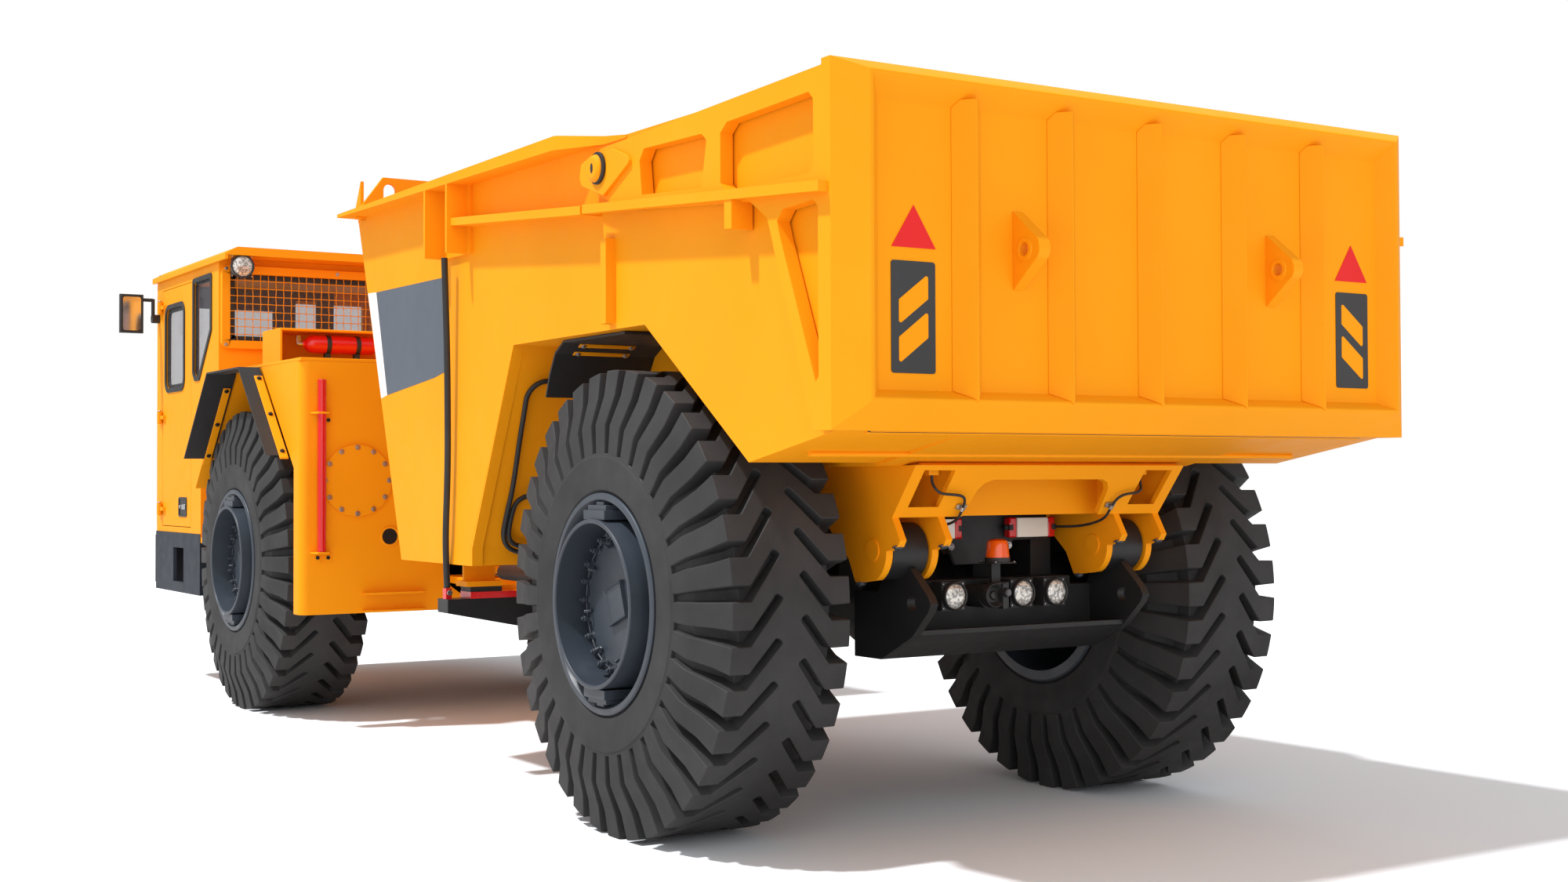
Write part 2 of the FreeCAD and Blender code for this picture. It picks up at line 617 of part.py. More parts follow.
# ---------------------------------------------------------------- cylinders
def cylinder(foot, head, eye_axis, barrel_length, barrel_radius, rod_radius, pin_radius, eye_half, tail):
    """A barrel with its eye at foot and a rod with its eye at head, along the line between them."""
    along = head.sub(foot)
    length = along.Length
    along.normalize()
    eye_radius = pin_radius + 35

    def at(distance):
        return foot.add(V(along.x * distance, along.y * distance, along.z * distance))

    def eye(centre):
        low = centre.sub(V(eye_axis.x * eye_half, eye_axis.y * eye_half, eye_axis.z * eye_half))
        return Part.makeCylinder(eye_radius, 2 * eye_half, low, eye_axis)

    def eye_hole(centre, radius):
        low = centre.sub(V(eye_axis.x * 2 * eye_half, eye_axis.y * 2 * eye_half, eye_axis.z * 2 * eye_half))
        return Part.makeCylinder(radius, 4 * eye_half, low, eye_axis)

    bore = bar_between(at(eye_radius + 30), at(barrel_length - 60), barrel_radius - 15)
    gland = bar_between(at(barrel_length - 61), at(barrel_length + 1), rod_radius + running_gap)
    barrel = joined([bar_between(at(eye_radius - 12), at(barrel_length), barrel_radius), eye(foot)])
    barrel = barrel.cut(bore).cut(gland).cut(eye_hole(foot, pin_radius + running_gap))
    rod = bar_between(at(tail), at(length), rod_radius)
    rod = joined([rod, eye(head)])
    return barrel, rod


for side, name in ((1, "left"), (-1, "right")):
    foot = V(hoist_foot[0], side * hoist_y, hoist_foot[1])
    head = V(hoist_head[0], side * hoist_y, hoist_head[1])
    barrel, rod = cylinder(foot, head, V(0, 1, 0), hoist_barrel_length, hoist_barrel_radius,
                           hoist_rod_radius, hoist_pin_radius, hoist_eye_half, 130)
    write(f"hoist_barrel_{name}", barrel)
    write(f"hoist_rod_{name}", rod)
    foot = V(steer_foot[0], side * steer_foot[1], steer_z)
    head = V(steer_head[0], side * steer_head[1], steer_z)
    barrel, rod = cylinder(foot, head, V(0, 0, 1), steer_barrel_length, steer_barrel_radius,
                           steer_rod_radius, steer_pin_radius, steer_eye_half, 470)
    write(f"steer_barrel_{name}", barrel)
    write(f"steer_rod_{name}", rod)


# ---------------------------------------------------------------- front frame
def front_tanks():
    """The two side tanks and the wall between them."""
    tank = [(front_wall_x, tank_bottom_z), (fender_line[0][0], tank_bottom_z), fender_line[0],
            (fender_line[1][0] - 20, deck_z - 20), (front_wall_x, deck_z - 20)]
    tank_solid = side_plate(tank, tank_inner_y, frame_half_width)
    tanks = pair(rounded_edges(tank_solid, tank_corner, lambda e: abs(e.CenterOfMass.x - front_wall_x) < 1
                               and abs(e.CenterOfMass.y - frame_half_width) < 1 and e.Length > 1500))
    half = tank_inner_y + 10
    middle = block(front_wall_x, front_wall_x + front_wall_depth, -half, half, front_wall_low_z, deck_z - 20)
    return joined(tanks + [middle])


def front_frame():
    beam_half, beam_top = tank_inner_y - seat_gap, front_wall_low_z - seat_gap
    pieces = [block(front_wall_x + 30, front_wall_x + 270, -beam_half, beam_half, 760, beam_top)]
    # Hitch tongue: two plates with webs.
    hitch, root = hitch_drawn_x, front_wall_x + 40
    tongue = [(hitch, -170), (hitch + 600, -320), (root, -430), (root, 430), (hitch + 600, 320),
              (hitch, 170)]
    low, high = hitch_bottom_z + hitch_gap, hitch_top_z - hitch_gap
    for z in (low, high - hitch_plate):
        pieces.append(flat_plate(tongue, z, z + hitch_plate))
        pieces.append(bar_z(hitch, 0, hitch_ear_radius, z, z + hitch_plate))
    web = [(hitch + 250, 100), (hitch + 600, 220), (root, 330), (root, 370), (hitch + 600, 260),
           (hitch + 250, 140)]
    pieces += pair(flat_plate(web, low, high))
    # Brackets over and under the steering rods' front eyes.
    sx, sy = steer_head[0] - front_shift, steer_head[1]
    bracket = [(sx - 60, 250), (sx - 60, sy + 60), (sx, sy + 85), (sx + 90, sy + 85),
               (front_wall_x - 5, sy + 45), (root, sy + 45), (root, 250)]
    reach = steer_eye_half + eye_gap + 1
    for z in (steer_z + reach, steer_z - reach - 45):
        pieces += pair(flat_plate(bracket, z, z + 45))
    # Rails over the front axle, and the cab's platform.
    rail = rail_outline(front_wall_x + 250, cab_front_x, 780, 1110, drawn_wheelbase, 330)
    rail_rear = front_wall_x + front_wall_depth + seat_gap
    rail += [(6500, 1110), (6300, 1400), (rail_rear, 1400), (rail_rear, beam_top),
             (front_wall_x + 250, beam_top)]
    pieces += pair(side_plate(rail, rail_inner_y, rail_outer_y))
    pieces.append(block(6720, cab_front_x, -cab_left_y, cab_left_y, cab_floor_z - 45, cab_floor_z))
    frame = joined(pieces)
    return frame.cut(bar_z(hitch, 0, hitch_pin_radius + running_gap, low - 10, high + 10))


def front_deck():
    """The deck over the front wheels, with the arches' inner walls and front slopes."""
    arch_inner, arch_rear = well_half_width - 20, fender_line[0][0] - 5
    pieces = [block(front_wall_x, fender_line[2][0] + 5, -frame_half_width, frame_half_width,
                    deck_z - 20, deck_z)]
    arch_wall = [(arch_rear, 1250), (fender_line[3][0], 1250), fender_line[3], fender_line[2],
                 (arch_rear, deck_z)]
    pieces += pair(side_plate(arch_wall, arch_inner, well_half_width))
    pieces += pair(bent_plate(fender_line[2:], fender_plate, arch_inner, frame_half_width))
    low_x, low_z = fender_line[3]
    pieces += pair(block(low_x - fender_plate, low_x, arch_inner, cab_left_y - 10, cab_floor_z, low_z))
    pieces.append(block(fender_line[2][0], cab_rear_x - seat_gap, -cab_left_y, cab_left_y,
                        deck_z - 20, deck_z))
    return joined(pieces).cut(front_tanks())


write_front("front_tanks", front_tanks())
write_front("front_frame", front_frame())


# ---------------------------------------------------------------- cab
door_x0, door_x1 = 7150, 7990
door_z0, door_z1 = 1220, 3090


def cab_outline(inset):
    outline = [(6870, cab_floor_z), (cab_front_x, cab_floor_z), (cab_front_x, cab_roof_z),
               (cab_rear_x, cab_roof_z), (cab_rear_x, 2120), (6870, 1650)]
    return offset_outline(outline, [inset] * len(outline))


quarter_window = [(6600, 3060), (6630, 3090), (7040, 3085), (7068, 3055), (7068, 2400), (7010, 2350),
                  (6910, 2350), (6600, 2690)]
windscreen = (cab_right_y + 90, cab_left_y - 90, 1950, 3060)
rear_window = (cab_right_y + 120, 1360, 2590, 3110)
right_window = [(6560, 3060), (8050, 3060), (8050, 2300), (6560, 2300)]
door_window = (7345, 7890, 2292, 2948)
door_window_corner = 95


def door_window_block(y0, y1):
    """The door's window, with round corners."""
    x0, x1, z0, z1 = door_window
    return rounded_edges(block(x0, x1, y0, y1, z0, z1), door_window_corner,
                         lambda e: e.BoundBox.YLength > 1)


hinge_axis_x = 8000
hinge_axis_y = cab_left_y + 23
hinge_pin = 9
knuckle = 20
hinge_heights = (1350, 2080, 2960)


def cab_hinges():
    parts = []
    for z in hinge_heights:
        pin = bar_z(hinge_axis_x, hinge_axis_y, hinge_pin, z - 52, z + 52)
        for z0, z1 in ((z - 46, z - 16), (z + 16, z + 46)):
            parts.append(bar_z(hinge_axis_x, hinge_axis_y, knuckle, z0, z1))
            parts.append(block(hinge_axis_x, hinge_axis_x + 60, cab_left_y - 1, hinge_axis_y, z0, z1))
        parts.append(pin)
    return parts


def door_hinges():
    parts = []
    for z in hinge_heights:
        parts.append(bar_z(hinge_axis_x, hinge_axis_y, knuckle, z - 15, z + 15))
        parts.append(block(door_x1 - 90, hinge_axis_x, cab_left_y + 3, hinge_axis_y, z - 15, z + 15))
        parts.append(block(door_x1 - 90, door_x1 - 5, cab_left_y - 1, cab_left_y + 5, z - 15, z + 15))
    return parts


def cab_shell():
    shell = side_plate(cab_outline(0), cab_right_y, cab_left_y)
    shell = shell.cut(side_plate(cab_outline(cab_wall), cab_right_y + cab_wall, cab_left_y - cab_wall))
    y0, y1, z0, z1 = windscreen
    shell = shell.cut(block(cab_front_x - 100, cab_front_x + 10, y0, y1, z0, z1))
    y0, y1, z0, z1 = rear_window
    shell = shell.cut(block(cab_rear_x - 10, cab_rear_x + 100, y0, y1, z0, z1))
    shell = shell.cut(side_plate(right_window, cab_right_y - 10, cab_right_y + 100))
    shell = shell.cut(side_plate(quarter_window, cab_left_y - 100, cab_left_y + 10))
    shell = shell.cut(block(door_x0 - door_gap, door_x1 + door_gap, cab_left_y - 100, cab_left_y + 10,
                            door_z0 - door_gap, door_z1 + door_gap))
    right, left, over = cab_right_y - roof_overhang, cab_left_y + roof_overhang, cab_roof_z + roof_rise
    roof = cross_plate([(right, cab_roof_z - 30), (left, cab_roof_z - 30), (left, cab_roof_z + 10),
                        (left - 90, over), (right + 90, over), (right, cab_roof_z + 10)],
                       roof_rear_x, cab_front_x + 40)
    roof = roof.cut(block(roof_rear_x - 30, cab_front_x + 130, cab_right_y - 10, cab_left_y + 10,
                          cab_roof_z - 100, cab_roof_z - 0.01))
    return joined([shell, roof] + cab_hinges())


def cab_glass():
    panes = []
    y0, y1, z0, z1 = windscreen
    panes.append(block(cab_front_x - 25, cab_front_x - 15, y0, y1, z0, z1))
    y0, y1, z0, z1 = rear_window
    panes.append(block(cab_rear_x + 15, cab_rear_x + 25, y0, y1, z0, z1))
    panes.append(side_plate(right_window, cab_right_y + 15, cab_right_y + 25))
    panes.append(side_plate(quarter_window, cab_left_y - 25, cab_left_y - 15))
    return panes


def cab_door():
    door = block(door_x0, door_x1, cab_left_y - cab_wall, cab_left_y, door_z0, door_z1)
    door = door.cut(door_window_block(cab_left_y - 100, cab_left_y + 10))
    door = joined([door] + door_hinges())
    for z in hinge_heights:
        door = door.cut(bar_z(hinge_axis_x, hinge_axis_y, hinge_pin + running_gap, z - 60, z + 60))
    return door


write_front("cab_shell", cab_shell())
write_front("cab_glass", cab_glass())
write_front("cab_door", cab_door())
write_front("door_glass", door_window_block(cab_left_y - 25, cab_left_y - 15))


def seat(x, y):
    base = bar_z(x, y, 60, cab_floor_z + cab_wall, 1560)
    cushion = block(x - 250, x + 250, y - 240, y + 240, 1560, 1680)
    back = side_plate([(x - 250, 1680), (x - 130, 1680), (x - 200, 2300), (x - 290, 2300)], y - 230, y + 230)
    head = side_plate([(x - 275, 2300), (x - 205, 2300), (x - 215, 2520), (x - 285, 2520)], y - 130, y + 130)
    return joined([base, cushion, back, head])


write_front("cab_seats", [seat(7220, 1000), seat(7220, 150)])
console = side_plate([(7750, 1190), (8100, 1190), (8100, 2000), (7950, 2050), (7850, 1950), (7900, 1700)],
                     100, 1350)
column = bar_between(V(7900, 1000, 1900), V(7700, 1000, 2080), 30)
wheel_ring = Part.makeTorus(200, 16, V(7690, 1000, 2090), V(-0.75, 0, 0.66))
spokes = bar_between(V(7690, 800, 2090), V(7690, 1200, 2090), 14)
write_front("cab_console", joined([console, column, wheel_ring, spokes]))

guard_y0, guard_y1 = cab_right_y + 60, 1440
guard_z0, guard_z1 = 2540, 3150
guard = block(6350, cab_rear_x, guard_y0, guard_y1, guard_z0, guard_z1)
guard = guard.cut(block(6300, cab_rear_x + 10, guard_y0 + 65, guard_y1 - 65, guard_z0 + 52, guard_z1 - 50))
write_front("rear_guard", guard)


# ---------------------------------------------------------------- engine, hood and front end
hood_y0, hood_y1 = -cab_left_y, cab_right_y - 35
hood_rear_x = 6420
hood = block(hood_rear_x, cab_front_x, hood_y0, hood_y1, cab_floor_z, hood_top_z)
hood = rounded_edges(hood, 60, lambda e: e.CenterOfMass.z > hood_top_z - 1)
hood_wall = 20
hood_hollow = block(hood_rear_x + hood_wall, cab_front_x - hood_wall, hood_y0 + hood_wall,
                    hood_y1 - hood_wall, cab_floor_z - 10, hood_top_z - hood_wall)
low_rear = side_plate([(hood_rear_x - 10, cab_floor_z - 10), (6765, cab_floor_z - 10), (6765, 1665),
                       (hood_rear_x - 10, 2030)], hood_y0 - 10, hood_y1 + 10)
grille_y0, grille_y1 = hood_y0 + 120, hood_y1 - 120
grille_z0, grille_z1 = cab_floor_z + 120, hood_top_z - 150
grille_border = 40
grille_frame = block(cab_front_x - 30, cab_front_x + 10, grille_y0, grille_y1, grille_z0, grille_z1)
hood_shell = hood.cut(hood_hollow).cut(low_rear).cut(grille_frame)
write_front("engine_hood", hood_shell)
write_front("engine_block", block(6800, 7900, hood_y0 + 200, hood_y1 - 200, cab_floor_z, 2050))
grille_ring = grille_frame.cut(block(cab_front_x - 40, cab_front_x + 20, grille_y0 + grille_border,
                                     grille_y1 - grille_border, grille_z0 + grille_border,
                                     grille_z1 - grille_border))
grille_pieces = [grille_ring]
slat_pitch = 70
slat_count = int((grille_z1 - grille_z0 - 2 * grille_border) / slat_pitch)
for i in range(slat_count):
    z = grille_z0 + 2 * grille_border + i * slat_pitch
    grille_pieces.append(block(cab_front_x - 25, cab_front_x + 5, grille_y0 + grille_border - 5,
                               grille_y1 - grille_border + 5, z, z + 25))
write_front("grille", joined(grille_pieces))

bumper = block(cab_front_x, bumper_front_x, -cab_left_y, cab_left_y, 760, 1140)
bumper = rounded_edges(bumper, 40, lambda e: abs(abs(e.CenterOfMass.y) - cab_left_y) < 1
                       and e.CenterOfMass.x > bumper_front_x - 1)
# Boxes under the cab sides, open inwards, with a boot hole in each outer face.
step_shell = block(6870, cab_front_x, 1000, cab_left_y, skirt_bottom_z, 1105)
step_shell = step_shell.cut(block(6890, cab_front_x - 20, 990, cab_left_y - 20, skirt_bottom_z - 10, 1085))
step_face = block(6870, cab_front_x, cab_left_y + seat_gap, cab_left_y + 6, skirt_bottom_z, 1172)
step_face = step_face.fuse(block(6870, cab_front_x, cab_left_y - 1, cab_left_y + 1, skirt_bottom_z, 1104))
step_shell = step_shell.fuse(step_face)
step_shell = step_shell.cut(block(7332, 7632, cab_left_y - 50, cab_left_y + 10, 790, 1055))
# ---------------------------------------------------------------- fittings of the front frame
flap_thickness = 12
flap_low_z = 1733
flap_line = offset_line(fender_line, fender_plate + seat_gap)
flap = bent_plate(flap_line, flap_thickness, frame_half_width + seat_gap, flap_edge_y)
flap = flap.fuse(bent_plate(flap_line[2:], flap_thickness, 1474, flap_edge_y))
flap = flap.common(block(front_wall_x, 7000, 0, 2000, flap_low_z, 2500)).removeSplitter()
write_front("fender_flaps", pair(flap))
strip_thickness = 8
rear_strip = bent_plate(offset_line(flap_line[:2], -strip_thickness - seat_gap), strip_thickness, 1540, 1597)
front_strip = bent_plate(offset_line(flap_line[2:], flap_thickness + seat_gap), strip_thickness, 1486, 1537)
strips = pair(rear_strip.common(block(4474, 5038, 0, 2000, 0, 3000)))
strips += pair(front_strip.common(block(5965, 6496, 0, 2000, 0, 3000)))
write_front("front_deck", [front_deck()] + strips)

bin_x0, bin_x1 = 5200, 5600
tool_bin = block(bin_x0, bin_x1, -300, 1370, deck_z, 2610)
tool_bin = tool_bin.cut(block(bin_x0 - 10, bin_x1 - 15, -285, 1355, deck_z + 15, 2595))
write_front("tool_bin", tool_bin)
bottle_x, bottle_z = 5300, 2512
bottle_radius = 63
bottle_y0, bottle_y1 = 700, 1110
bottle_parts = [bar_y(bottle_x, bottle_z, bottle_radius, bottle_y0, bottle_y1),
                bar_y(bottle_x, bottle_z, 22, bottle_y1, bottle_y1 + 120)]
for y in (bottle_y0, bottle_y1):
    bottle_parts.append(Part.makeSphere(bottle_radius, V(bottle_x, y, bottle_z)))
for y in (bottle_y0 + 80, bottle_y1 - 120):
    bottle_parts.append(block(bottle_x - 20, bottle_x + 20, y, y + 40, deck_z + 15, bottle_z))
bottle = joined(bottle_parts)
write_front("extinguisher", bottle)

lock_x = front_wall_x - 45
lock_y = frame_half_width - 127
lock = bar_z(lock_x, lock_y, 25, 1120, 2210)
holders = [block(lock_x - 30, front_wall_x, lock_y - 40, lock_y + 30, z, z + 14) for z in (1106, 1990)]
holders[1] = holders[1].cut(lock)
write_front("lock_bar", lock)
write_front("lock_brackets", holders)


mirror_x = 8110
mirror_y0, mirror_y1 = 1580, 1760
mirror_z0, mirror_z1 = 2760, 3070
mirror_tube = 14


def mirror_head(side):
    head = block(mirror_x - 20, mirror_x + 20, mirror_y0, mirror_y1, mirror_z0, mirror_z1)
    return head if side > 0 else mirrored(head)


def left_mirror():
    base = bar_between(V(mirror_x, cab_left_y, 2880), V(mirror_x, cab_left_y + 60, 2880), 35)
    mast = bar_z(mirror_x, cab_left_y + 50, mirror_tube, 2880, 3040)
    arm = bar_y(mirror_x, 3030, mirror_tube, cab_left_y + 50, mirror_y0 + 10)
    return joined([base, mast, arm, mirror_head(1)])


def right_mirror():
    mast = bar_z(8080, -1370, 25, hood_top_z, 2950)
    arm = bar_between(V(8080, -1370, 2900), V(mirror_x, -mirror_y0 - 10, 2900), mirror_tube)
    return joined([mast, arm, mirror_head(-1)])


write_front("mirrors", [left_mirror(), right_mirror()])

lamp_half = 62


def work_lamp(x, y, z, facing):
    """A round lamp in a square housing; facing is +1 for forward, -1 for rearward."""
    back = x - facing * 70
    front = x + facing * 12
    housing = block(min(x, back), max(x, back), y - lamp_half, y + lamp_half, z - lamp_half, z + lamp_half)
    rim_ring = bar_x(y, z, lamp_half - 8, min(x, front), max(x, front))
    return joined([housing, rim_ring])


head_lamps = []
for y in (-1180, -980, 980, 1180):
    head_lamps.append(work_lamp(bumper_front_x, y, 950, 1))
for lamp in head_lamps:
    bumper = bumper.cut(lamp)
write_front("front_bumper", joined([bumper] + pair(step_shell)))
roof_lamp = joined([work_lamp(6190, 1340, 3128, -1), block(6205, 6225, 1330, 1350, 3185, cab_roof_z)])
write_front("head_lamps", head_lamps + [roof_lamp])

exhaust = joined([bar_x(-1050, 2540, 150, 4600, 5600), bar_x(-1050, 2540, 60, 5600, 5750),
                  bar_z(5750, -1050, 60, 2480, 2900),
                  block(4750, 4800, -1120, -980, deck_z, 2420),
                  block(5400, 5450, -1120, -980, deck_z, 2420)])
write_front("exhaust", exhaust)
air_cleaner = joined([bar_z(4900, -550, 190, deck_z + 60, 2800), bar_z(4900, -550, 110, deck_z, 2870)])
write_front("air_cleaner", air_cleaner)
rail_y = 87 - frame_half_width
rail_posts = [bar_z(x, rail_y, 18, deck_z, deck_z + 600) for x in (4350, 5100)]
rail_bars = [bar_x(rail_y, deck_z + 582, 18, 4350, 5100), bar_x(rail_y, deck_z + 300, 14, 4350, 5100)]
write_front("deck_rail", joined(rail_posts + rail_bars))

# ---------------------------------------------------------------- fittings of the rear frame
rear_lamps = []
for y in (320, -60, -250):
    stalk = block(-830, cross_beam_x, y - 30, y + 30, 1000, 1050)
    rear_lamps.append(joined([work_lamp(-890, y, 1058, -1), stalk]))
camera = joined([bar_x(120, 1050, 52, -880, cross_beam_x), block(-900, -870, 20, 70, 1000, 1110),
                 block(-880, -850, 30, 90, 1030, 1070)])
write("rear_lamps", rear_lamps + [camera])
beacon = joined([bar_z(-860, 50, 62, 1205, 1220), bar_z(-860, 50, 48, 1215, 1290),
                 block(-850, -830, 25, 75, 1085, 1206), block(-850, cross_beam_x, 25, 75, 1085, 1105)])
write("beacon", beacon)
write("rest_pads", pair(block(rest_x0 + 5, rest_x1 - 5, 1185, 1366, 975, rest_top - 0.3)))
anchor = block(1962, 2008, 1460, 1492, 940, 996.8)
write("rope_anchors", pair(block(rest_x0, rest_x1, 1100, 1366, 940, 975)) + pair(anchor))

# ---------------------------------------------------------------- fittings of the load body
lamp_y0, lamp_y1, lamp_z0, lamp_z1, lamp_depth = 134, 404, 1297, 1390, 45
lamp_plate = [(-140, 1180), (140, 1180), (190, 1285), (390, 1285), (390, floor_mid_z),
              (-390, floor_mid_z), (-390, 1285), (-190, 1285)]
tail_lamp = joined([block(lamp_plate_x - lamp_depth, lamp_plate_x, lamp_y0, lamp_y1, lamp_z0, lamp_z1),
                    block(lamp_plate_x - 38, lamp_plate_x - 8, lamp_y1 - 5, lamp_y1 + 18, 1332, 1356)])
write("tail_lamps", [cross_plate(lamp_plate, lamp_plate_x, lamp_plate_x + 20)] + pair(tail_lamp))


def smooth_tube(points, radius):
    """A tube along straight runs joined by tangent arcs, as wide as the runs allow."""
    points = [V(*p) for p in points]
    edges = []
    start = points[0]
    for i in range(1, len(points) - 1):
        back = points[i - 1].sub(points[i])
        ahead = points[i + 1].sub(points[i])
        trim = 0.45 * min(back.Length, ahead.Length)
        back.normalize()
        ahead.normalize()
        bend_in = points[i].add(back * trim)
        bend_out = points[i].add(ahead * trim)
        middle = back.add(ahead).normalize()
        half_turn = (math.pi - back.getAngle(ahead)) / 2
        arc_radius = trim / math.tan(half_turn)
        centre = points[i].add(middle * (arc_radius / math.cos(half_turn)))
        arc_mid = centre.sub(middle * arc_radius)
        edges.append(Part.LineSegment(start, bend_in).toShape())
        edges.append(Part.Arc(bend_in, arc_mid, bend_out).toShape())
        print("bend radius", round(arc_radius))
        start = bend_out
    edges.append(Part.LineSegment(start, points[-1]).toShape())
    path = Part.Wire(edges)
    first = points[1].sub(points[0])
    section = Part.Wire([Part.Circle(points[0], first, radius).toShape()])
    tube = path.makePipeShell([section], True, True)
    print("tube volume ratio", round(tube.Volume / (math.pi * radius ** 2 * path.Length), 4))
    return tube


rope_y = body_half_width + 37
rope_route = [(1880, rope_y + 28, 2735), (1885, rope_y + 9, 2200), (1900, rope_y, 1650),
              (1935, rope_y, 1250), (1985, 1477, 1001)]
write("gate_ropes", pair(smooth_tube(rope_route, 17)))
lead_start = [(-713, 413, 1344), (-778, 413, 1344), (-865, 427, 1349), (-952, 430, 1363),
              (-1046, 416, 1387), (-1086, 418, 1440), (-1112, 424, 1473), (-1131, 449, 1493),
              (-1138, 493, 1499)]
lead_left_end = [(-1140, 538, 1501), (-1137, 575, 1506), (-1127, 595, 1527), (-1109, 597, 1553),
                 (-1109, 597, 1581)]
lead_right_end = [(-1139, -528, 1503), (-1133, -554, 1518), (-1114, -564, 1549), (-1114, -564, 1581)]
lead_right_start = [(x, -y, z) for x, y, z in lead_start]
write("lamp_lead_left", smooth_tube(lead_start + lead_left_end, 6))
write("lamp_lead_right", smooth_tube(lead_right_start + lead_right_end, 6))
long_hose_route = [(1204, 1100, 2062), (1204, 1185, 2062), (1203, 1272, 2065), (1212, 1313, 2048),
                   (1227, 1343, 2018), (1246, 1357, 1980), (1284, 1351, 1904), (1352, 1345, 1773),
                   (1420, 1335, 1634), (1484, 1328, 1508), (1534, 1331, 1410), (1572, 1331, 1336),
                   (1598, 1327, 1287), (1619, 1310, 1247), (1636, 1279, 1215), (1648, 1237, 1196),
                   (1655, 1180, 1187), (1655, 1124, 1187)]
short_hose_route = [(1500, 1150, 1488), (1500, 1192, 1488), (1501, 1232, 1486), (1507, 1267, 1474),
                    (1520, 1292, 1449), (1536, 1301, 1412), (1555, 1303, 1373), (1578, 1302, 1328),
                    (1596, 1299, 1290), (1612, 1286, 1260), (1624, 1262, 1238), (1633, 1228, 1225),
                    (1638, 1178, 1219), (1638, 1124, 1219)]
write("arch_hose_long", smooth_tube(long_hose_route, 13))
write("arch_hose_short", smooth_tube(short_hose_route, 13))
mudflap_line = [(100, 2232), (730, 2232), (825, 2180), (888, 2080), (932, 1972)]
mudflap = bent_plate(mudflap_line, 12, well_half_width + 0.5, 1400)
write("mudflaps", pair(mudflap))
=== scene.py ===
import json
import math
import bpy
import bmesh
from mathutils import Matrix, Vector


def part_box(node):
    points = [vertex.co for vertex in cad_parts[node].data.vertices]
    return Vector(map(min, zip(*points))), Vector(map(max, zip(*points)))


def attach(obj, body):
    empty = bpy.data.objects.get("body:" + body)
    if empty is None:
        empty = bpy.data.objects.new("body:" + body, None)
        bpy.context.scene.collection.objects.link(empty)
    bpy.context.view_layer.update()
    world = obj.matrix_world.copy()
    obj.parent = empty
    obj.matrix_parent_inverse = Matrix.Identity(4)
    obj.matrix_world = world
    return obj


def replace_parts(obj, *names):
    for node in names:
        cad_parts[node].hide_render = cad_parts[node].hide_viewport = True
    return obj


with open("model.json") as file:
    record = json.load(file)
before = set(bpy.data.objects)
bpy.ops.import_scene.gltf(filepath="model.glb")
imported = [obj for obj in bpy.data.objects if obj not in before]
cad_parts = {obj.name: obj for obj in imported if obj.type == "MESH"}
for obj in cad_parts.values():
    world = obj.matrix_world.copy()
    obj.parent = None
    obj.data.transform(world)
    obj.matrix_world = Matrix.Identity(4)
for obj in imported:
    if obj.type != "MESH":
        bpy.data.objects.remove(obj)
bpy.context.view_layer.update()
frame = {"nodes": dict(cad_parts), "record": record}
print("frame loaded")

# places are measured from the ground under the rear axle, x forward, y left, z up
rearLow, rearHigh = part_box("tyre_rear_left")
frontLow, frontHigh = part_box("tyre_front_left")
rearAxleX = (rearLow[0] + rearHigh[0]) / 2
wheelbase = (frontLow[0] + frontHigh[0]) / 2 - rearAxleX
tyreRadius = (rearHigh[2] - rearLow[2]) / 2
wheelY = (rearLow[1] + rearHigh[1]) / 2
rearward, forward = Vector((-1, 0, 0)), Vector((1, 0, 0))
leftward, upward = Vector((0, 1, 0)), Vector((0, 0, 1))
bodyOf = {node: body for body, nodes in frame["record"]["behaviour"]["bodies"].items() for node in nodes}


def at(x, y, z):
    return Vector((rearAxleX + x, y, z))


# finishes

def nodeMaterial(name):
    material = bpy.data.materials.new(name)
    material.use_nodes = True
    tree = material.node_tree
    return material, tree.nodes, tree.links, tree.nodes["Principled BSDF"]


def objectNoise(nodes, links, scale, detail):
    coords = nodes.new("ShaderNodeTexCoord")
    noise = nodes.new("ShaderNodeTexNoise")
    noise.inputs["Scale"].default_value = scale
    noise.inputs["Detail"].default_value = detail
    links.new(coords.outputs["Object"], noise.inputs["Vector"])
    return noise


def spread(nodes, links, source, low, high):
    remap = nodes.new("ShaderNodeMapRange")
    remap.inputs["From Min"].default_value = 0.3
    remap.inputs["From Max"].default_value = 0.7
    remap.inputs["To Min"].default_value = low
    remap.inputs["To Max"].default_value = high
    links.new(source, remap.inputs["Value"])
    return remap.outputs["Result"]


def twoTone(nodes, links, source, dark, light):
    ramp = nodes.new("ShaderNodeValToRGB")
    ramp.color_ramp.elements[0].position = 0.35
    ramp.color_ramp.elements[1].position = 0.65
    ramp.color_ramp.elements[0].color = (*dark, 1)
    ramp.color_ramp.elements[1].color = (*light, 1)
    links.new(source, ramp.inputs["Fac"])
    return ramp.outputs["Color"]


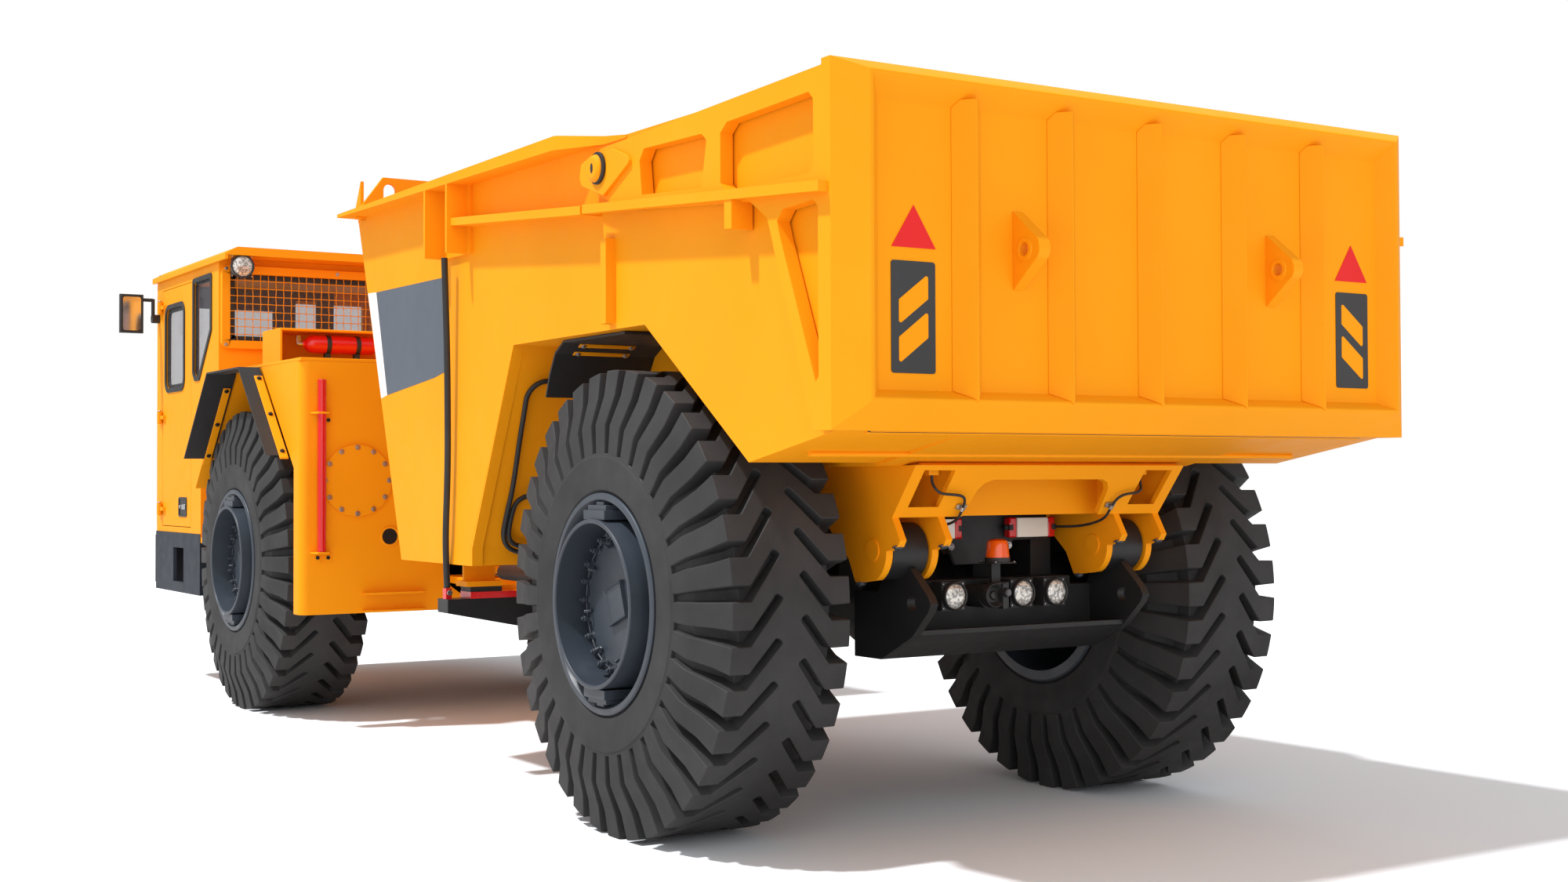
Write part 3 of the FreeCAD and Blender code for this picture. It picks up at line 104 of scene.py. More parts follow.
# coat is a thin clear layer, grain the height of the finest bumps in metres
def surfaceFinish(name, look):
    material, nodes, links, shader = nodeMaterial(name)
    cloud = objectNoise(nodes, links, look.get("cloudScale", 1.5), 5.0)
    colour = twoTone(nodes, links, cloud.outputs["Fac"], look["dark"], look["light"])
    links.new(colour, shader.inputs["Base Color"])
    smear = objectNoise(nodes, links, look.get("smearScale", 9.0), 3.0)
    low, high = look["roughness"]
    links.new(spread(nodes, links, smear.outputs["Fac"], low, high), shader.inputs["Roughness"])
    shader.inputs["Metallic"].default_value = look.get("metallic", 0.0)
    shader.inputs["Coat Weight"].default_value = look.get("coat", 0.0)
    shader.inputs["Coat Roughness"].default_value = 0.12
    shader.inputs["Specular IOR Level"].default_value = look.get("specular", 0.5)
    grain = objectNoise(nodes, links, look.get("grainScale", 180.0), 2.0)
    bump = nodes.new("ShaderNodeBump")
    bump.inputs["Strength"].default_value = look.get("grainStrength", 0.15)
    bump.inputs["Distance"].default_value = look.get("grain", 0.0004)
    links.new(grain.outputs["Fac"], bump.inputs["Height"])
    links.new(bump.outputs["Normal"], shader.inputs["Normal"])
    return material


def glassFinish(name, tint, opacity):
    material, nodes, links, shader = nodeMaterial(name)
    film = objectNoise(nodes, links, 4.0, 3.0)
    colour = twoTone(nodes, links, film.outputs["Fac"], tint, [c * 1.02 for c in tint])
    links.new(colour, shader.inputs["Base Color"])
    links.new(spread(nodes, links, film.outputs["Fac"], 0.03, 0.05), shader.inputs["Roughness"])
    shader.inputs["Alpha"].default_value = opacity
    return material


def facetFinish(name):
    material, nodes, links, shader = nodeMaterial(name)
    coords = nodes.new("ShaderNodeTexCoord")
    facets = nodes.new("ShaderNodeTexVoronoi")
    facets.inputs["Scale"].default_value = 95.0
    links.new(coords.outputs["Object"], facets.inputs["Vector"])
    split = nodes.new("ShaderNodeSeparateColor")
    links.new(facets.outputs["Color"], split.inputs["Color"])
    links.new(twoTone(nodes, links, split.outputs["Red"], (0.30, 0.30, 0.29), (0.76, 0.75, 0.71)),
              shader.inputs["Base Color"])
    shader.inputs["Roughness"].default_value = 0.22
    shader.inputs["Metallic"].default_value = 0.35
    shader.inputs["Coat Weight"].default_value = 1.0
    shader.inputs["Coat Roughness"].default_value = 0.04
    return material


looks = {
    "bodyPaint": {"dark": (0.93, 0.338, 0.004), "light": (0.97, 0.358, 0.006), "roughness": (0.5, 0.6),
                  "specular": 0.12},
    "blackPaint": {"dark": (0.010, 0.011, 0.012), "light": (0.016, 0.017, 0.019),
                   "roughness": (0.38, 0.5), "specular": 0.4},
    "slatePaint": {"dark": (0.036, 0.045, 0.060), "light": (0.046, 0.058, 0.076),
                   "roughness": (0.36, 0.48)},
    "bumperSlate": {"dark": (0.024, 0.030, 0.041), "light": (0.030, 0.038, 0.051),
                    "roughness": (0.50, 0.60), "specular": 0.2},
    "decalSlate": {"dark": (0.088, 0.108, 0.138), "light": (0.1, 0.122, 0.155),
                   "roughness": (0.5, 0.6)},
    "decalWhite": {"dark": (0.86, 0.86, 0.86), "light": (0.92, 0.92, 0.92), "roughness": (0.5, 0.6)},
    "signDark": {"dark": (0.028, 0.03, 0.033), "light": (0.036, 0.038, 0.042), "roughness": (0.5, 0.6)},
    "signRed": {"dark": (0.76, 0.003, 0.004), "light": (0.80, 0.004, 0.006), "roughness": (0.45, 0.55)},
    "redPaint": {"dark": (0.66, 0.003, 0.004), "light": (0.73, 0.005, 0.006), "roughness": (0.25, 0.35),
                 "coat": 0.3},
    "tyreRubber": {"dark": (0.024, 0.024, 0.025), "light": (0.036, 0.036, 0.038),
                   "roughness": (0.62, 0.78), "cloudScale": 3.0, "specular": 0.4, "grain": 0.0012,
                   "grainScale": 90.0, "grainStrength": 0.3},
    "rubber": {"dark": (0.014, 0.014, 0.015), "light": (0.022, 0.022, 0.023), "roughness": (0.5, 0.65),
               "grain": 0.0008, "grainStrength": 0.25},
    "darkPlastic": {"dark": (0.012, 0.012, 0.013), "light": (0.020, 0.020, 0.021),
                    "roughness": (0.42, 0.55)},
    "steel": {"dark": (0.42, 0.42, 0.43), "light": (0.55, 0.55, 0.56), "metallic": 1.0,
              "roughness": (0.25, 0.4)},
    "castMetal": {"dark": (0.10, 0.10, 0.105), "light": (0.17, 0.17, 0.175), "roughness": (0.5, 0.7),
                  "metallic": 0.6, "grain": 0.0012},
    "chrome": {"dark": (0.72, 0.72, 0.74), "light": (0.82, 0.82, 0.84), "metallic": 1.0,
               "roughness": (0.06, 0.12)},
    "seatVinyl": {"dark": (0.56, 0.56, 0.57), "light": (0.62, 0.62, 0.63), "roughness": (0.5, 0.62),
                  "grain": 0.001, "grainScale": 320.0},
    "creamLens": {"dark": (0.82, 0.76, 0.66), "light": (0.9, 0.85, 0.76), "roughness": (0.12, 0.2),
                  "coat": 0.5},
    "redLens": {"dark": (0.55, 0.004, 0.006), "light": (0.7, 0.008, 0.010), "roughness": (0.1, 0.18),
                "coat": 0.6},
    "amberLens": {"dark": (0.84, 0.085, 0.004), "light": (0.92, 0.115, 0.006), "roughness": (0.12, 0.2),
                  "coat": 0.6},
}
finishes = {name: surfaceFinish(name, look) for name, look in looks.items()}
finishes["lampGlass"] = facetFinish("lampGlass")
finishes["smokedGlass"] = glassFinish("smokedGlass", (0.16, 0.16, 0.19), 0.22)
print("finishes made")


# shape helpers

def markCreases(bm, degrees):
    for face in bm.faces:
        face.smooth = True
    for edge in bm.edges:
        edge.smooth = len(edge.link_faces) != 2 or edge.calc_face_angle(0) < math.radians(degrees)


def finishPiece(bm, name, finish, body, rounding=0.0, creaseDegrees=32, recalc=True):
    if recalc:
        bmesh.ops.recalc_face_normals(bm, faces=bm.faces)
    markCreases(bm, creaseDegrees)
    mesh = bpy.data.meshes.new(name)
    bm.to_mesh(mesh)
    bm.free()
    piece = bpy.data.objects.new(name, mesh)
    bpy.context.scene.collection.objects.link(piece)
    mesh.materials.append(finishes[finish])
    if rounding:
        bevel = piece.modifiers.new("rounding", "BEVEL")
        bevel.width = rounding
        bevel.segments = 2
        bevel.limit_method = "ANGLE"
        bevel.angle_limit = math.radians(creaseDegrees)
        bevel.harden_normals = False
        bevel.use_clamp_overlap = True
    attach(piece, body)
    return piece


# a copy of a CAD node with its triangles joined and its edges rounded
def dressNode(node, finish, rounding=0.004, creaseDegrees=32, softened=None):
    bm = bmesh.new()
    bm.from_mesh(frame["nodes"][node].data)
    bmesh.ops.remove_doubles(bm, verts=bm.verts, dist=0.00002)
    bmesh.ops.dissolve_limit(bm, angle_limit=math.radians(0.8), verts=bm.verts, edges=bm.edges)
    if softened:
        bmesh.ops.bevel(bm, geom=[edge for edge in bm.edges if softened(edge)], offset=0.024, affect="EDGES",
                        segments=5, profile=0.5, material=-1, clamp_overlap=True)
    piece = finishPiece(bm, node + "Dressed", finish, bodyOf[node], rounding, creaseDegrees, recalc=False)
    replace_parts(piece, node)
    return piece


def coatNode(node, finish):
    mesh = frame["nodes"][node].data
    mesh.materials.clear()
    mesh.materials.append(finishes[finish])


def addBox(bm, low, high):
    size = high - low
    place = Matrix.Translation((low + high) / 2) @ Matrix.Diagonal((size.x, size.y, size.z, 1))
    return bmesh.ops.create_cube(bm, size=1, matrix=place)["verts"]


def addRod(bm, start, end, radius, segments=24, endRadius=None):
    run = end - start
    turn = run.to_track_quat("Z", "Y").to_matrix().to_4x4()
    place = Matrix.Translation((start + end) / 2) @ turn
    return bmesh.ops.create_cone(bm, cap_ends=True, segments=segments, radius1=radius,
                                 radius2=radius if endRadius is None else endRadius, depth=run.length,
                                 matrix=place)["verts"]


# spins a row of points round an axis, and joins the row's ends first where it is closed
def addTurned(bm, points, centre, axis, steps=40, closed=False):
    verts = [bm.verts.new(point) for point in points]
    edges = [bm.edges.new(pair) for pair in zip(verts, verts[1:])]
    if closed:
        edges.append(bm.edges.new((verts[-1], verts[0])))
    bmesh.ops.spin(bm, geom=verts + edges, cent=centre, axis=axis, angle=2 * math.pi, steps=steps,
                   use_merge=True)


def addPlate(bm, corners, thickness):
    face = bm.faces.new([bm.verts.new(corner) for corner in corners])
    made = bmesh.ops.extrude_face_region(bm, geom=[face])["geom"]
    moved = [item for item in made if isinstance(item, bmesh.types.BMVert)]
    bmesh.ops.translate(bm, verts=moved, vec=thickness)
    return moved


def mirrorAcross(bm):
    copy = bmesh.ops.duplicate(bm, geom=bm.verts[:] + bm.edges[:] + bm.faces[:])["geom"]
    verts = [item for item in copy if isinstance(item, bmesh.types.BMVert)]
    bmesh.ops.scale(bm, verts=verts, vec=(1, -1, 1))
    bmesh.ops.reverse_faces(bm, faces=[item for item in copy if isinstance(item, bmesh.types.BMFace)])


# camera

camera = {"place": (-7.3644, 5.2907, 1.5647), "yaw": -32.382, "pitch": 1.182, "roll": -0.214, "lens": 43.04}


def makeCamera():
    yaw, pitch, roll = (math.radians(camera[key]) for key in ("yaw", "pitch", "roll"))
    ahead = Vector((math.cos(yaw) * math.cos(pitch), math.sin(yaw) * math.cos(pitch), math.sin(pitch)))
    level = Vector((math.sin(yaw), -math.cos(yaw), 0))
    up = level.cross(ahead)
    right = level * math.cos(roll) + up * math.sin(roll)
    up = up * math.cos(roll) - level * math.sin(roll)
    data = bpy.data.cameras.new("camera")
    data.lens = camera["lens"]
    data.sensor_width = 36
    data.clip_end = 200
    holder = bpy.data.objects.new("camera", data)
    turn = Matrix((right, up, -ahead)).transposed().to_4x4()
    holder.matrix_world = Matrix.Translation(at(*camera["place"])) @ turn
    bpy.context.scene.collection.objects.link(holder)
    bpy.context.scene.camera = holder


makeCamera()

# cords, each along the route of its tube in the load body

leadStart = [(-0.713, 0.413, 1.344), (-0.778, 0.413, 1.344), (-0.865, 0.427, 1.349), (-0.952, 0.430, 1.363),
             (-1.046, 0.416, 1.387), (-1.086, 0.418, 1.440), (-1.112, 0.424, 1.473), (-1.131, 0.449, 1.493),
             (-1.138, 0.493, 1.499)]
cords = {
    "lamp_lead_left": {
        "diameter": 0.012,
        "route": leadStart + [(-1.140, 0.538, 1.501), (-1.137, 0.575, 1.506), (-1.127, 0.595, 1.527),
                              (-1.109, 0.597, 1.553), (-1.109, 0.597, 1.581)],
    },
    "lamp_lead_right": {
        "diameter": 0.012,
        "route": [(x, -y, z) for x, y, z in leadStart] + [(-1.139, -0.528, 1.503), (-1.133, -0.554, 1.518),
                                                          (-1.114, -0.564, 1.549), (-1.114, -0.564, 1.581)],
    },
    "arch_hose_long": {
        "diameter": 0.026,
        "route": [(1.204, 1.100, 2.062), (1.204, 1.185, 2.062), (1.203, 1.272, 2.065), (1.212, 1.313, 2.048),
                  (1.227, 1.343, 2.018), (1.246, 1.357, 1.980), (1.284, 1.351, 1.904), (1.352, 1.345, 1.773),
                  (1.420, 1.335, 1.634), (1.484, 1.328, 1.508), (1.534, 1.331, 1.410), (1.572, 1.331, 1.336),
                  (1.598, 1.327, 1.287), (1.619, 1.310, 1.247), (1.636, 1.279, 1.215), (1.648, 1.237, 1.196),
                  (1.655, 1.180, 1.187), (1.655, 1.124, 1.187)],
    },
    "arch_hose_short": {
        "diameter": 0.026,
        "route": [(1.500, 1.150, 1.488), (1.500, 1.192, 1.488), (1.501, 1.232, 1.486), (1.507, 1.267, 1.474),
                  (1.520, 1.292, 1.449), (1.536, 1.301, 1.412), (1.555, 1.303, 1.373), (1.578, 1.302, 1.328),
                  (1.596, 1.299, 1.290), (1.612, 1.286, 1.260), (1.624, 1.262, 1.238), (1.633, 1.228, 1.225),
                  (1.638, 1.178, 1.219), (1.638, 1.124, 1.219)],
    },
}


def makeCord(node, look):
    curve = bpy.data.curves.new(node + "Line", "CURVE")
    curve.dimensions = "3D"
    curve.resolution_u = 10
    line = curve.splines.new("NURBS")
    line.points.add(len(look["route"]) - 1)
    for point, place in zip(line.points, look["route"]):
        point.co = (*at(*place), 1)
    line.order_u = 3
    line.use_endpoint_u = True
    piece = bpy.data.objects.new(node + "Line", curve)
    bpy.context.scene.collection.objects.link(piece)
    path = bpy.data.meshes.new_from_object(piece)
    bpy.data.meshes.remove(path)
    curve.bevel_depth = look["diameter"] / 2
    curve.bevel_resolution = 4
    curve.use_fill_caps = True
    curve.materials.append(finishes["rubber"])
    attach(piece, "load_body")
    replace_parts(piece, node)


for node, look in cords.items():
    makeCord(node, look)
print("cords made")

# tyres

tyre = {
    "lugs": 36,
    # (across, radius) from the bead up the side wall to the shoulder and in to the middle
    "profile": [(0.3265, 0.455), (0.3265, 0.488), (0.338, 0.500), (0.345, 0.560), (0.3475, 0.610),
                (0.3490, 0.642), (0.3445, 0.650), (0.3435, 0.660), (0.3435, 0.785), (0.2985, 0.915),
                (0.280, 1.025), (0.190, 1.025), (0.0375, 1.025), (0.0, 1.025)],
    "firstGrooveRow": 7,       # rows of the profile between which the grooves run
    "lastGrooveRow": 12,
    "bendRow": 11,             # where a groove turns from straight across to slanting
    "lean": 1.05,              # of a pitch, from the bend to the groove's end
    "columns": [0.0, 0.18, 0.32, 0.5, 0.68, 0.82, 1.0],
    "grooveWidth": [0.30, 0.33, 0.37, 0.38, 0.37, 0.36],
    "grooveDepth": [0.016, 0.034, 0.072, 0.088, 0.066, 0.058],
    "endCut": 0.21,            # how much sooner the leading edge of a slanting groove stops
    "endRounding": 0.012,
    "floorShare": 0.72,
    "lugRounding": 0.005,
    "sharpAngle": 28,
    "treadStart": 0.655,
}


def profileNormals(profile):
    normals = []
    for i, (across, radius) in enumerate(profile):
        before = profile[max(i - 1, 0)]
        after = profile[min(i + 1, len(profile) - 1)]
        run = Vector((after[0] - before[0], after[1] - before[1])).normalized()
        normals.append(Vector((run.y, -run.x)))
    return normals


# one pitch of one half of the tyre: a grid whose groove is pushed in, then bent round the wheel
def addTyreHalf(bm, side, phase):
    profile, columns = tyre["profile"], tyre["columns"]
    rows, first, last = len(profile), tyre["firstGrooveRow"], tyre["lastGrooveRow"]
    cell = bmesh.new()
    bmesh.ops.create_grid(cell, x_segments=len(columns) - 1, y_segments=rows - 1, size=0.5)
    for vert in cell.verts:
        vert.co.x = round((vert.co.x + 0.5) * (len(columns) - 1))
        vert.co.y = round((vert.co.y + 0.5) * (rows - 1))
    middle = (len(columns) - 1) / 2
    groove = [face for face in cell.faces if abs(face.calc_center_median().x - middle) < 1
              and first < face.calc_center_median().y < last]
    pushed = bmesh.ops.extrude_face_region(cell, geom=groove)["geom"]
    bmesh.ops.delete(cell, geom=groove, context="FACES")
    for item in pushed:
        if isinstance(item, bmesh.types.BMVert):
            item.co.z = -1
    normals = profileNormals(profile)
    pitch = 2 * math.pi / tyre["lugs"]
    endCorners = [vert for vert in cell.verts if round(vert.co.y) == last and abs(vert.co.x - middle) == 1]
    for vert in cell.verts:
        row, column = round(vert.co.y), round(vert.co.x)
        step = min(max(row - first, 0), last - first)
        width = tyre["grooveWidth"][step]
        share = columns[column]
        if abs(share - 0.5) < 0.2:
            narrow = tyre["floorShare"] if vert.co.z < 0 else 1
            share = 0.5 + (share - 0.5) / 0.36 * width * narrow
        depth = tyre["grooveDepth"][step] if vert.co.z < 0 else 0
        lean = -tyre["lean"] if row > tyre["bendRow"] else 0
        across, radius = Vector(profile[row]) - normals[row] * depth
        if row == last:
            early = tyre["endCut"] * {middle - 1: 1, middle: 0.5}.get(column, 0)
            lean += early * tyre["lean"]
            across += early * (profile[last - 1][0] - profile[last][0])
        angle = -(share + lean + phase) * pitch
        vert.co = (radius * math.sin(angle), side * across, radius * math.cos(angle))
    ends = [edge for edge in cell.edges if all(vert in endCorners for vert in edge.verts)
            and abs(edge.verts[0].co.length - edge.verts[1].co.length) > 0.03]
    bmesh.ops.bevel(cell, geom=ends, offset=tyre["endRounding"], affect="EDGES", segments=2, profile=0.5,
                    material=-1)
    bmesh.ops.spin(cell, geom=cell.verts[:] + cell.edges[:] + cell.faces[:], cent=(0, 0, 0), axis=(0, 1, 0),
                   angle=2 * math.pi * (tyre["lugs"] - 1) / tyre["lugs"], steps=tyre["lugs"] - 1,
                   use_duplicate=True)
    mesh = bpy.data.meshes.new("tyreHalf")
    cell.to_mesh(mesh)
    cell.free()
    bm.from_mesh(mesh)
    bpy.data.meshes.remove(mesh)


def makeTyreMesh():
    bm = bmesh.new()
    addTyreHalf(bm, 1, 0)
    addTyreHalf(bm, -1, 0.5)
    bmesh.ops.remove_doubles(bm, verts=bm.verts, dist=0.0005)
    rims = [edge for edge in bm.edges if edge.is_boundary]
    bmesh.ops.bridge_loops(bm, edges=rims)
    bmesh.ops.recalc_face_normals(bm, faces=bm.faces)
    sharp = [edge for edge in bm.edges
             if edge.is_manifold and edge.calc_face_angle_signed(0) > math.radians(tyre["sharpAngle"])
             and min(v.co.xz.length for v in edge.verts) > tyre["treadStart"]]
    bmesh.ops.bevel(bm, geom=sharp, offset=tyre["lugRounding"], affect="EDGES", segments=1, profile=0.5,
                    material=-1, clamp_overlap=True)
    return bm


# where each wheel stands along the truck, and its side
wheels = {"rear_left": (0, 1), "rear_right": (0, -1),
          "front_left": (wheelbase, 1), "front_right": (wheelbase, -1)}
tyreMesh = makeTyreMesh()
for place, (x, side) in wheels.items():
    bm = tyreMesh.copy()
    bmesh.ops.translate(bm, verts=bm.verts, vec=at(x, side * wheelY, tyreRadius))
    piece = finishPiece(bm, "tyreLugs_" + place, "tyreRubber", "wheel_" + place, creaseDegrees=24)
    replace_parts(piece, "tyre_" + place)
tyreMesh.free()
print("tyres made")

# rims

rim = {
    # (across, radius) round the closed section of the barrel with its two flanges
    "barrel": [(-0.3465, 0.43), (-0.3465, 0.478), (-0.341, 0.486), (-0.332, 0.486), (-0.3265, 0.480),
               (-0.3265, 0.4497), (0.3265, 0.4497), (0.3265, 0.480), (0.332, 0.486), (0.341, 0.486),
               (0.3465, 0.478), (0.3465, 0.457), (0.328, 0.445), (0.295, 0.430)],
    "drum": [(0.10, 0.431), (0.12, 0.372), (0.389, 0.372), (0.3935, 0.367), (0.3935, 0.357),
             (0.389, 0.352), (0.226, 0.352), (0.226, 0.322), (0.2485, 0.318), (0.2485, 0.286),
             (0.2565, 0.278), (0.2565, 0.0)],
    "back": [(0.2565, 0.0), (0.22, 0.0), (0.22, 0.0901), (-0.04, 0.0901), (-0.04, 0.20), (0.10, 0.20),
             (0.10, 0.431)],
    "boltCircle": 0.301,
    "flangeFace": 0.2485,
    "hubFace": 0.2565,
    "bolts": 22,
    "frameHalf": 0.0825,       # square frame in the middle of the hub
    "frameTurn": 20,
    "hooks": 8,
    "blockHalf": 0.10,
    "spinSteps": 96,
    "boltStack": [(0.008, 0.022, 16), (0.034, 0.0155, 6), (0.044, 0.0085, 12)],  # washer, nut and stud
    "wireLift": 0.012,
    "wireRadius": 0.0045,
}


def spinSection(bm, section, closed=False):
    points = [(0, across, radius) for across, radius in section]
    addTurned(bm, points, (0, 0, 0), leftward, rim["spinSteps"], closed)


# direction square to the axle, by its step in a full turn
def spokeAt(step, count):
    angle = 2 * math.pi * step / count
    return Vector((math.sin(angle), 0, math.cos(angle)))


def addRimBolts(bm):
    face, lift = leftward * rim["flangeFace"], leftward * rim["wireLift"]
    for i in range(rim["bolts"]):
        foot = spokeAt(i + 0.5, rim["bolts"]) * rim["boltCircle"] + face
        for height, radius, segments in rim["boltStack"]:
            addRod(bm, foot, foot + leftward * height, radius, segments)
        reach = spokeAt(i + 1.5, rim["bolts"]) * rim["boltCircle"] + face
        addRod(bm, foot + lift, reach + lift, rim["wireRadius"], 8)
    for i in range(rim["hooks"]):
        spoke = spokeAt(i + 0.25, rim["hooks"])
        root = spoke * 0.278 + Vector((0, rim["hubFace"] - 0.005, 0))
        tip = spoke * 0.246 + Vector((0, rim["hubFace"] + 0.018, 0))
        addRod(bm, root, tip, 0.008, 10)
        addRod(bm, tip, tip + Vector((0, 0.022, 0)) + spoke * 0.012, 0.008, 10)


def addHubFrame(bm):
    half, face = rim["frameHalf"], rim["hubFace"]
    cube = bmesh.ops.create_cube(bm, size=1, matrix=Matrix.Translation((0, face + 0.010, 0))
                                 @ Matrix.Rotation(math.radians(rim["frameTurn"]), 4, "Y")
                                 @ Matrix.Diagonal((2 * half, 0.024, 2 * half, 1)))["verts"]
    faces = {f for v in cube for f in v.link_faces}
    front = [f for f in faces if f.calc_center_median().y > face + 0.015]
    bmesh.ops.inset_region(bm, faces=front, thickness=0.016)
    bmesh.ops.translate(bm, verts=list({v for f in front for v in f.verts}), vec=(0, -0.012, 0))


# stepped block that locks the drum to the flange
def addLockBlock(bm, up):
    half = rim["blockHalf"]
    for share, low, high, y0, y1 in ((1.0, 0.368, 0.410, 0.19, 0.375), (0.86, 0.405, 0.432, 0.20, 0.36),
                                     (0.34, 0.428, 0.446, 0.22, 0.345)):
        addBox(bm, Vector((-half * share, y0, min(up * low, up * high))),
               Vector((half * share, y1, max(up * low, up * high))))


def makeRimMesh():
    bm = bmesh.new()
    spinSection(bm, rim["barrel"], closed=True)
    spinSection(bm, rim["drum"] + rim["back"][1:])
    bmesh.ops.remove_doubles(bm, verts=bm.verts, dist=0.0001)
    bmesh.ops.recalc_face_normals(bm, faces=bm.faces)
    addRimBolts(bm)
    addHubFrame(bm)
    for up in (1, -1):
        addLockBlock(bm, up)
    return bm


rimMesh = makeRimMesh()
for place, (x, side) in wheels.items():
    bm = rimMesh.copy()
    if side < 0:
        bmesh.ops.rotate(bm, verts=bm.verts, cent=(0, 0, 0), matrix=Matrix.Rotation(math.pi, 3, "Z"))
    bmesh.ops.translate(bm, verts=bm.verts, vec=at(x, side * wheelY, tyreRadius))
    piece = finishPiece(bm, "rimDrum_" + place, "slatePaint", "wheel_" + place, rounding=0.0025,
                        recalc=False)
    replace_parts(piece, "rim_" + place)
rimMesh.free()
print("rims made")

# CAD nodes with rounded edges, and the ones that keep their own shape

roundedNodes = {
    "load_body": ("bodyPaint", 0.005), "body_underframe": ("bodyPaint", 0.004),
    "tailgate": ("bodyPaint", 0.006), "gate_ribs": ("bodyPaint", 0.008), "gate_lugs": ("bodyPaint", 0.006),
    "rear_frame": ("blackPaint", 0.004), "front_tanks": ("bodyPaint", 0.006),
    "front_frame": ("bodyPaint", 0.004), "front_deck": ("bodyPaint", 0.003),
    "cab_shell": ("bodyPaint", 0.006), "cab_door": ("bodyPaint", 0.005), "engine_hood": ("bodyPaint", 0.003),
    "front_bumper": ("bumperSlate", 0.005), "tool_bin": ("bodyPaint", 0.003),
}
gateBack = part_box("tailgate")[0][0]


def onGateRidge(edge):
    return all(vert.co.x < gateBack + 0.004 for vert in edge.verts) and edge.calc_length() > 0.5


for node, (finish, rounding) in roundedNodes.items():
    dressNode(node, finish, rounding, softened=onGateRidge if node == "tailgate" else None)
coatedNodes = {
    "hinge_pins": "blackPaint", "rear_axle": "blackPaint", "front_axle": "blackPaint",
    "cab_glass": "smokedGlass", "door_glass": "smokedGlass", "cab_console": "darkPlastic",
    "engine_block": "castMetal", "grille": "blackPaint", "fender_flaps": "rubber", "mirrors": "darkPlastic",
    "head_lamps": "darkPlastic", "exhaust": "castMetal", "air_cleaner": "blackPaint",
    "deck_rail": "bodyPaint", "rear_lamps": "darkPlastic", "rest_pads": "rubber", "rope_anchors": "redPaint",
    "gate_ropes": "rubber", "mudflaps": "rubber",
}
for side in ("left", "right"):
    for cylinder in ("hoist", "steer"):
        coatedNodes[f"{cylinder}_barrel_{side}"] = "blackPaint"
        coatedNodes[f"{cylinder}_rod_{side}"] = "chrome"
for node, finish in coatedNodes.items():
    coatNode(node, finish)
print("CAD nodes dressed")

# helpers for the fittings

def makePiece(name, finish, body, build, mirrored=False, rounding=0.0015, creaseDegrees=32):
    bm = bmesh.new()
    build(bm)
    if mirrored:
        mirrorAcross(bm)
    return finishPiece(bm, name, finish, body, rounding, creaseDegrees)


# an outline with an arc in place of each corner
def roundCorners(points, radius, steps=5):
    loop = []
    for i, point in enumerate(points):
        corner = Vector(point)
        back = (Vector(points[i - 1]) - corner).normalized()
        ahead = (Vector(points[(i + 1) % len(points)]) - corner).normalized()
        halfTurn = (math.pi - back.angle(ahead)) / 2
        trim = radius * math.tan(halfTurn)
        middle = corner + (back + ahead).normalized() * (radius / math.cos(halfTurn))
        first, last = corner + back * trim - middle, corner + ahead * trim - middle
        for step in range(steps + 1):
            loop.append(middle + first.lerp(last, step / steps).normalized() * radius)
    return loop


def onSide(points, y):
    return [at(x, y, z) for x, z in points]


def onTail(points, x):
    return [at(x, y, z) for y, z in points]


def addRing(bm, corners, width, thickness):
    face = bm.faces.new([bm.verts.new(corner) for corner in corners])
    face.normal_update()
    band = bmesh.ops.inset_region(bm, faces=[face], thickness=width, use_boundary=True,
                                  use_even_offset=True)["faces"]
    bmesh.ops.delete(bm, geom=[face], context="FACES")
    made = bmesh.ops.extrude_face_region(bm, geom=band)["geom"]
    moved = [item for item in made if isinstance(item, bmesh.types.BMVert)]
    bmesh.ops.translate(bm, verts=moved, vec=thickness)


def addBolt(bm, foot, out, size):
    out = out.normalized()
    addRod(bm, foot, foot + out * size * 0.35, size * 1.5, 20)
    addRod(bm, foot + out * size * 0.2, foot + out * size * 1.15, size, 6)


def addButton(bm, foot, out, size):
    out = out.normalized()
    addRod(bm, foot, foot + out * size * 0.25, size * 1.35, 24)
    addRod(bm, foot + out * size * 0.2, foot + out * size * 0.8, size, 24, size * 0.85)


# signs on the tailgate and stripes on the load body

tailSigns = {
    "panel": -1.785,
    "board": [(1.085, 1.955), (1.287, 1.955), (1.287, 2.370), (1.085, 2.370)],
    "bars": [[(1.253, 2.133), (1.253, 2.226), (1.119, 2.325), (1.119, 2.232)],
             [(1.253, 1.989), (1.253, 2.0875), (1.119, 2.187), (1.119, 2.088)]],
    "triangle": [(1.082, 2.420), (1.284, 2.420), (1.183, 2.578)],
}


def addTailBoard(bm):
    addPlate(bm, onTail(roundCorners(tailSigns["board"], 0.012), tailSigns["panel"]), rearward * 0.003)


def addTailBars(bm):
    for bar in tailSigns["bars"]:
        addPlate(bm, onTail(roundCorners(bar, 0.008), tailSigns["panel"] - 0.003), rearward * 0.001)


def addTailTriangle(bm):
    addPlate(bm, onTail(tailSigns["triangle"], tailSigns["panel"]), rearward * 0.003)


makePiece("signBoards", "signDark", "tailgate", addTailBoard, mirrored=True, rounding=0)
makePiece("signBars", "bodyPaint", "tailgate", addTailBars, mirrored=True, rounding=0)
makePiece("signTriangles", "signRed", "tailgate", addTailTriangle, mirrored=True, rounding=0)

sideStripes = {
    "wall": 1.470,
    "white": [(3.207, 2.665), (3.072, 2.660), (2.893, 2.056), (2.989, 2.042)],
    "slate": [(3.070, 2.660), (2.005, 2.651), (2.016, 2.148), (2.181, 2.121), (2.891, 2.056)],
    "slateCorner": 0.035,
}


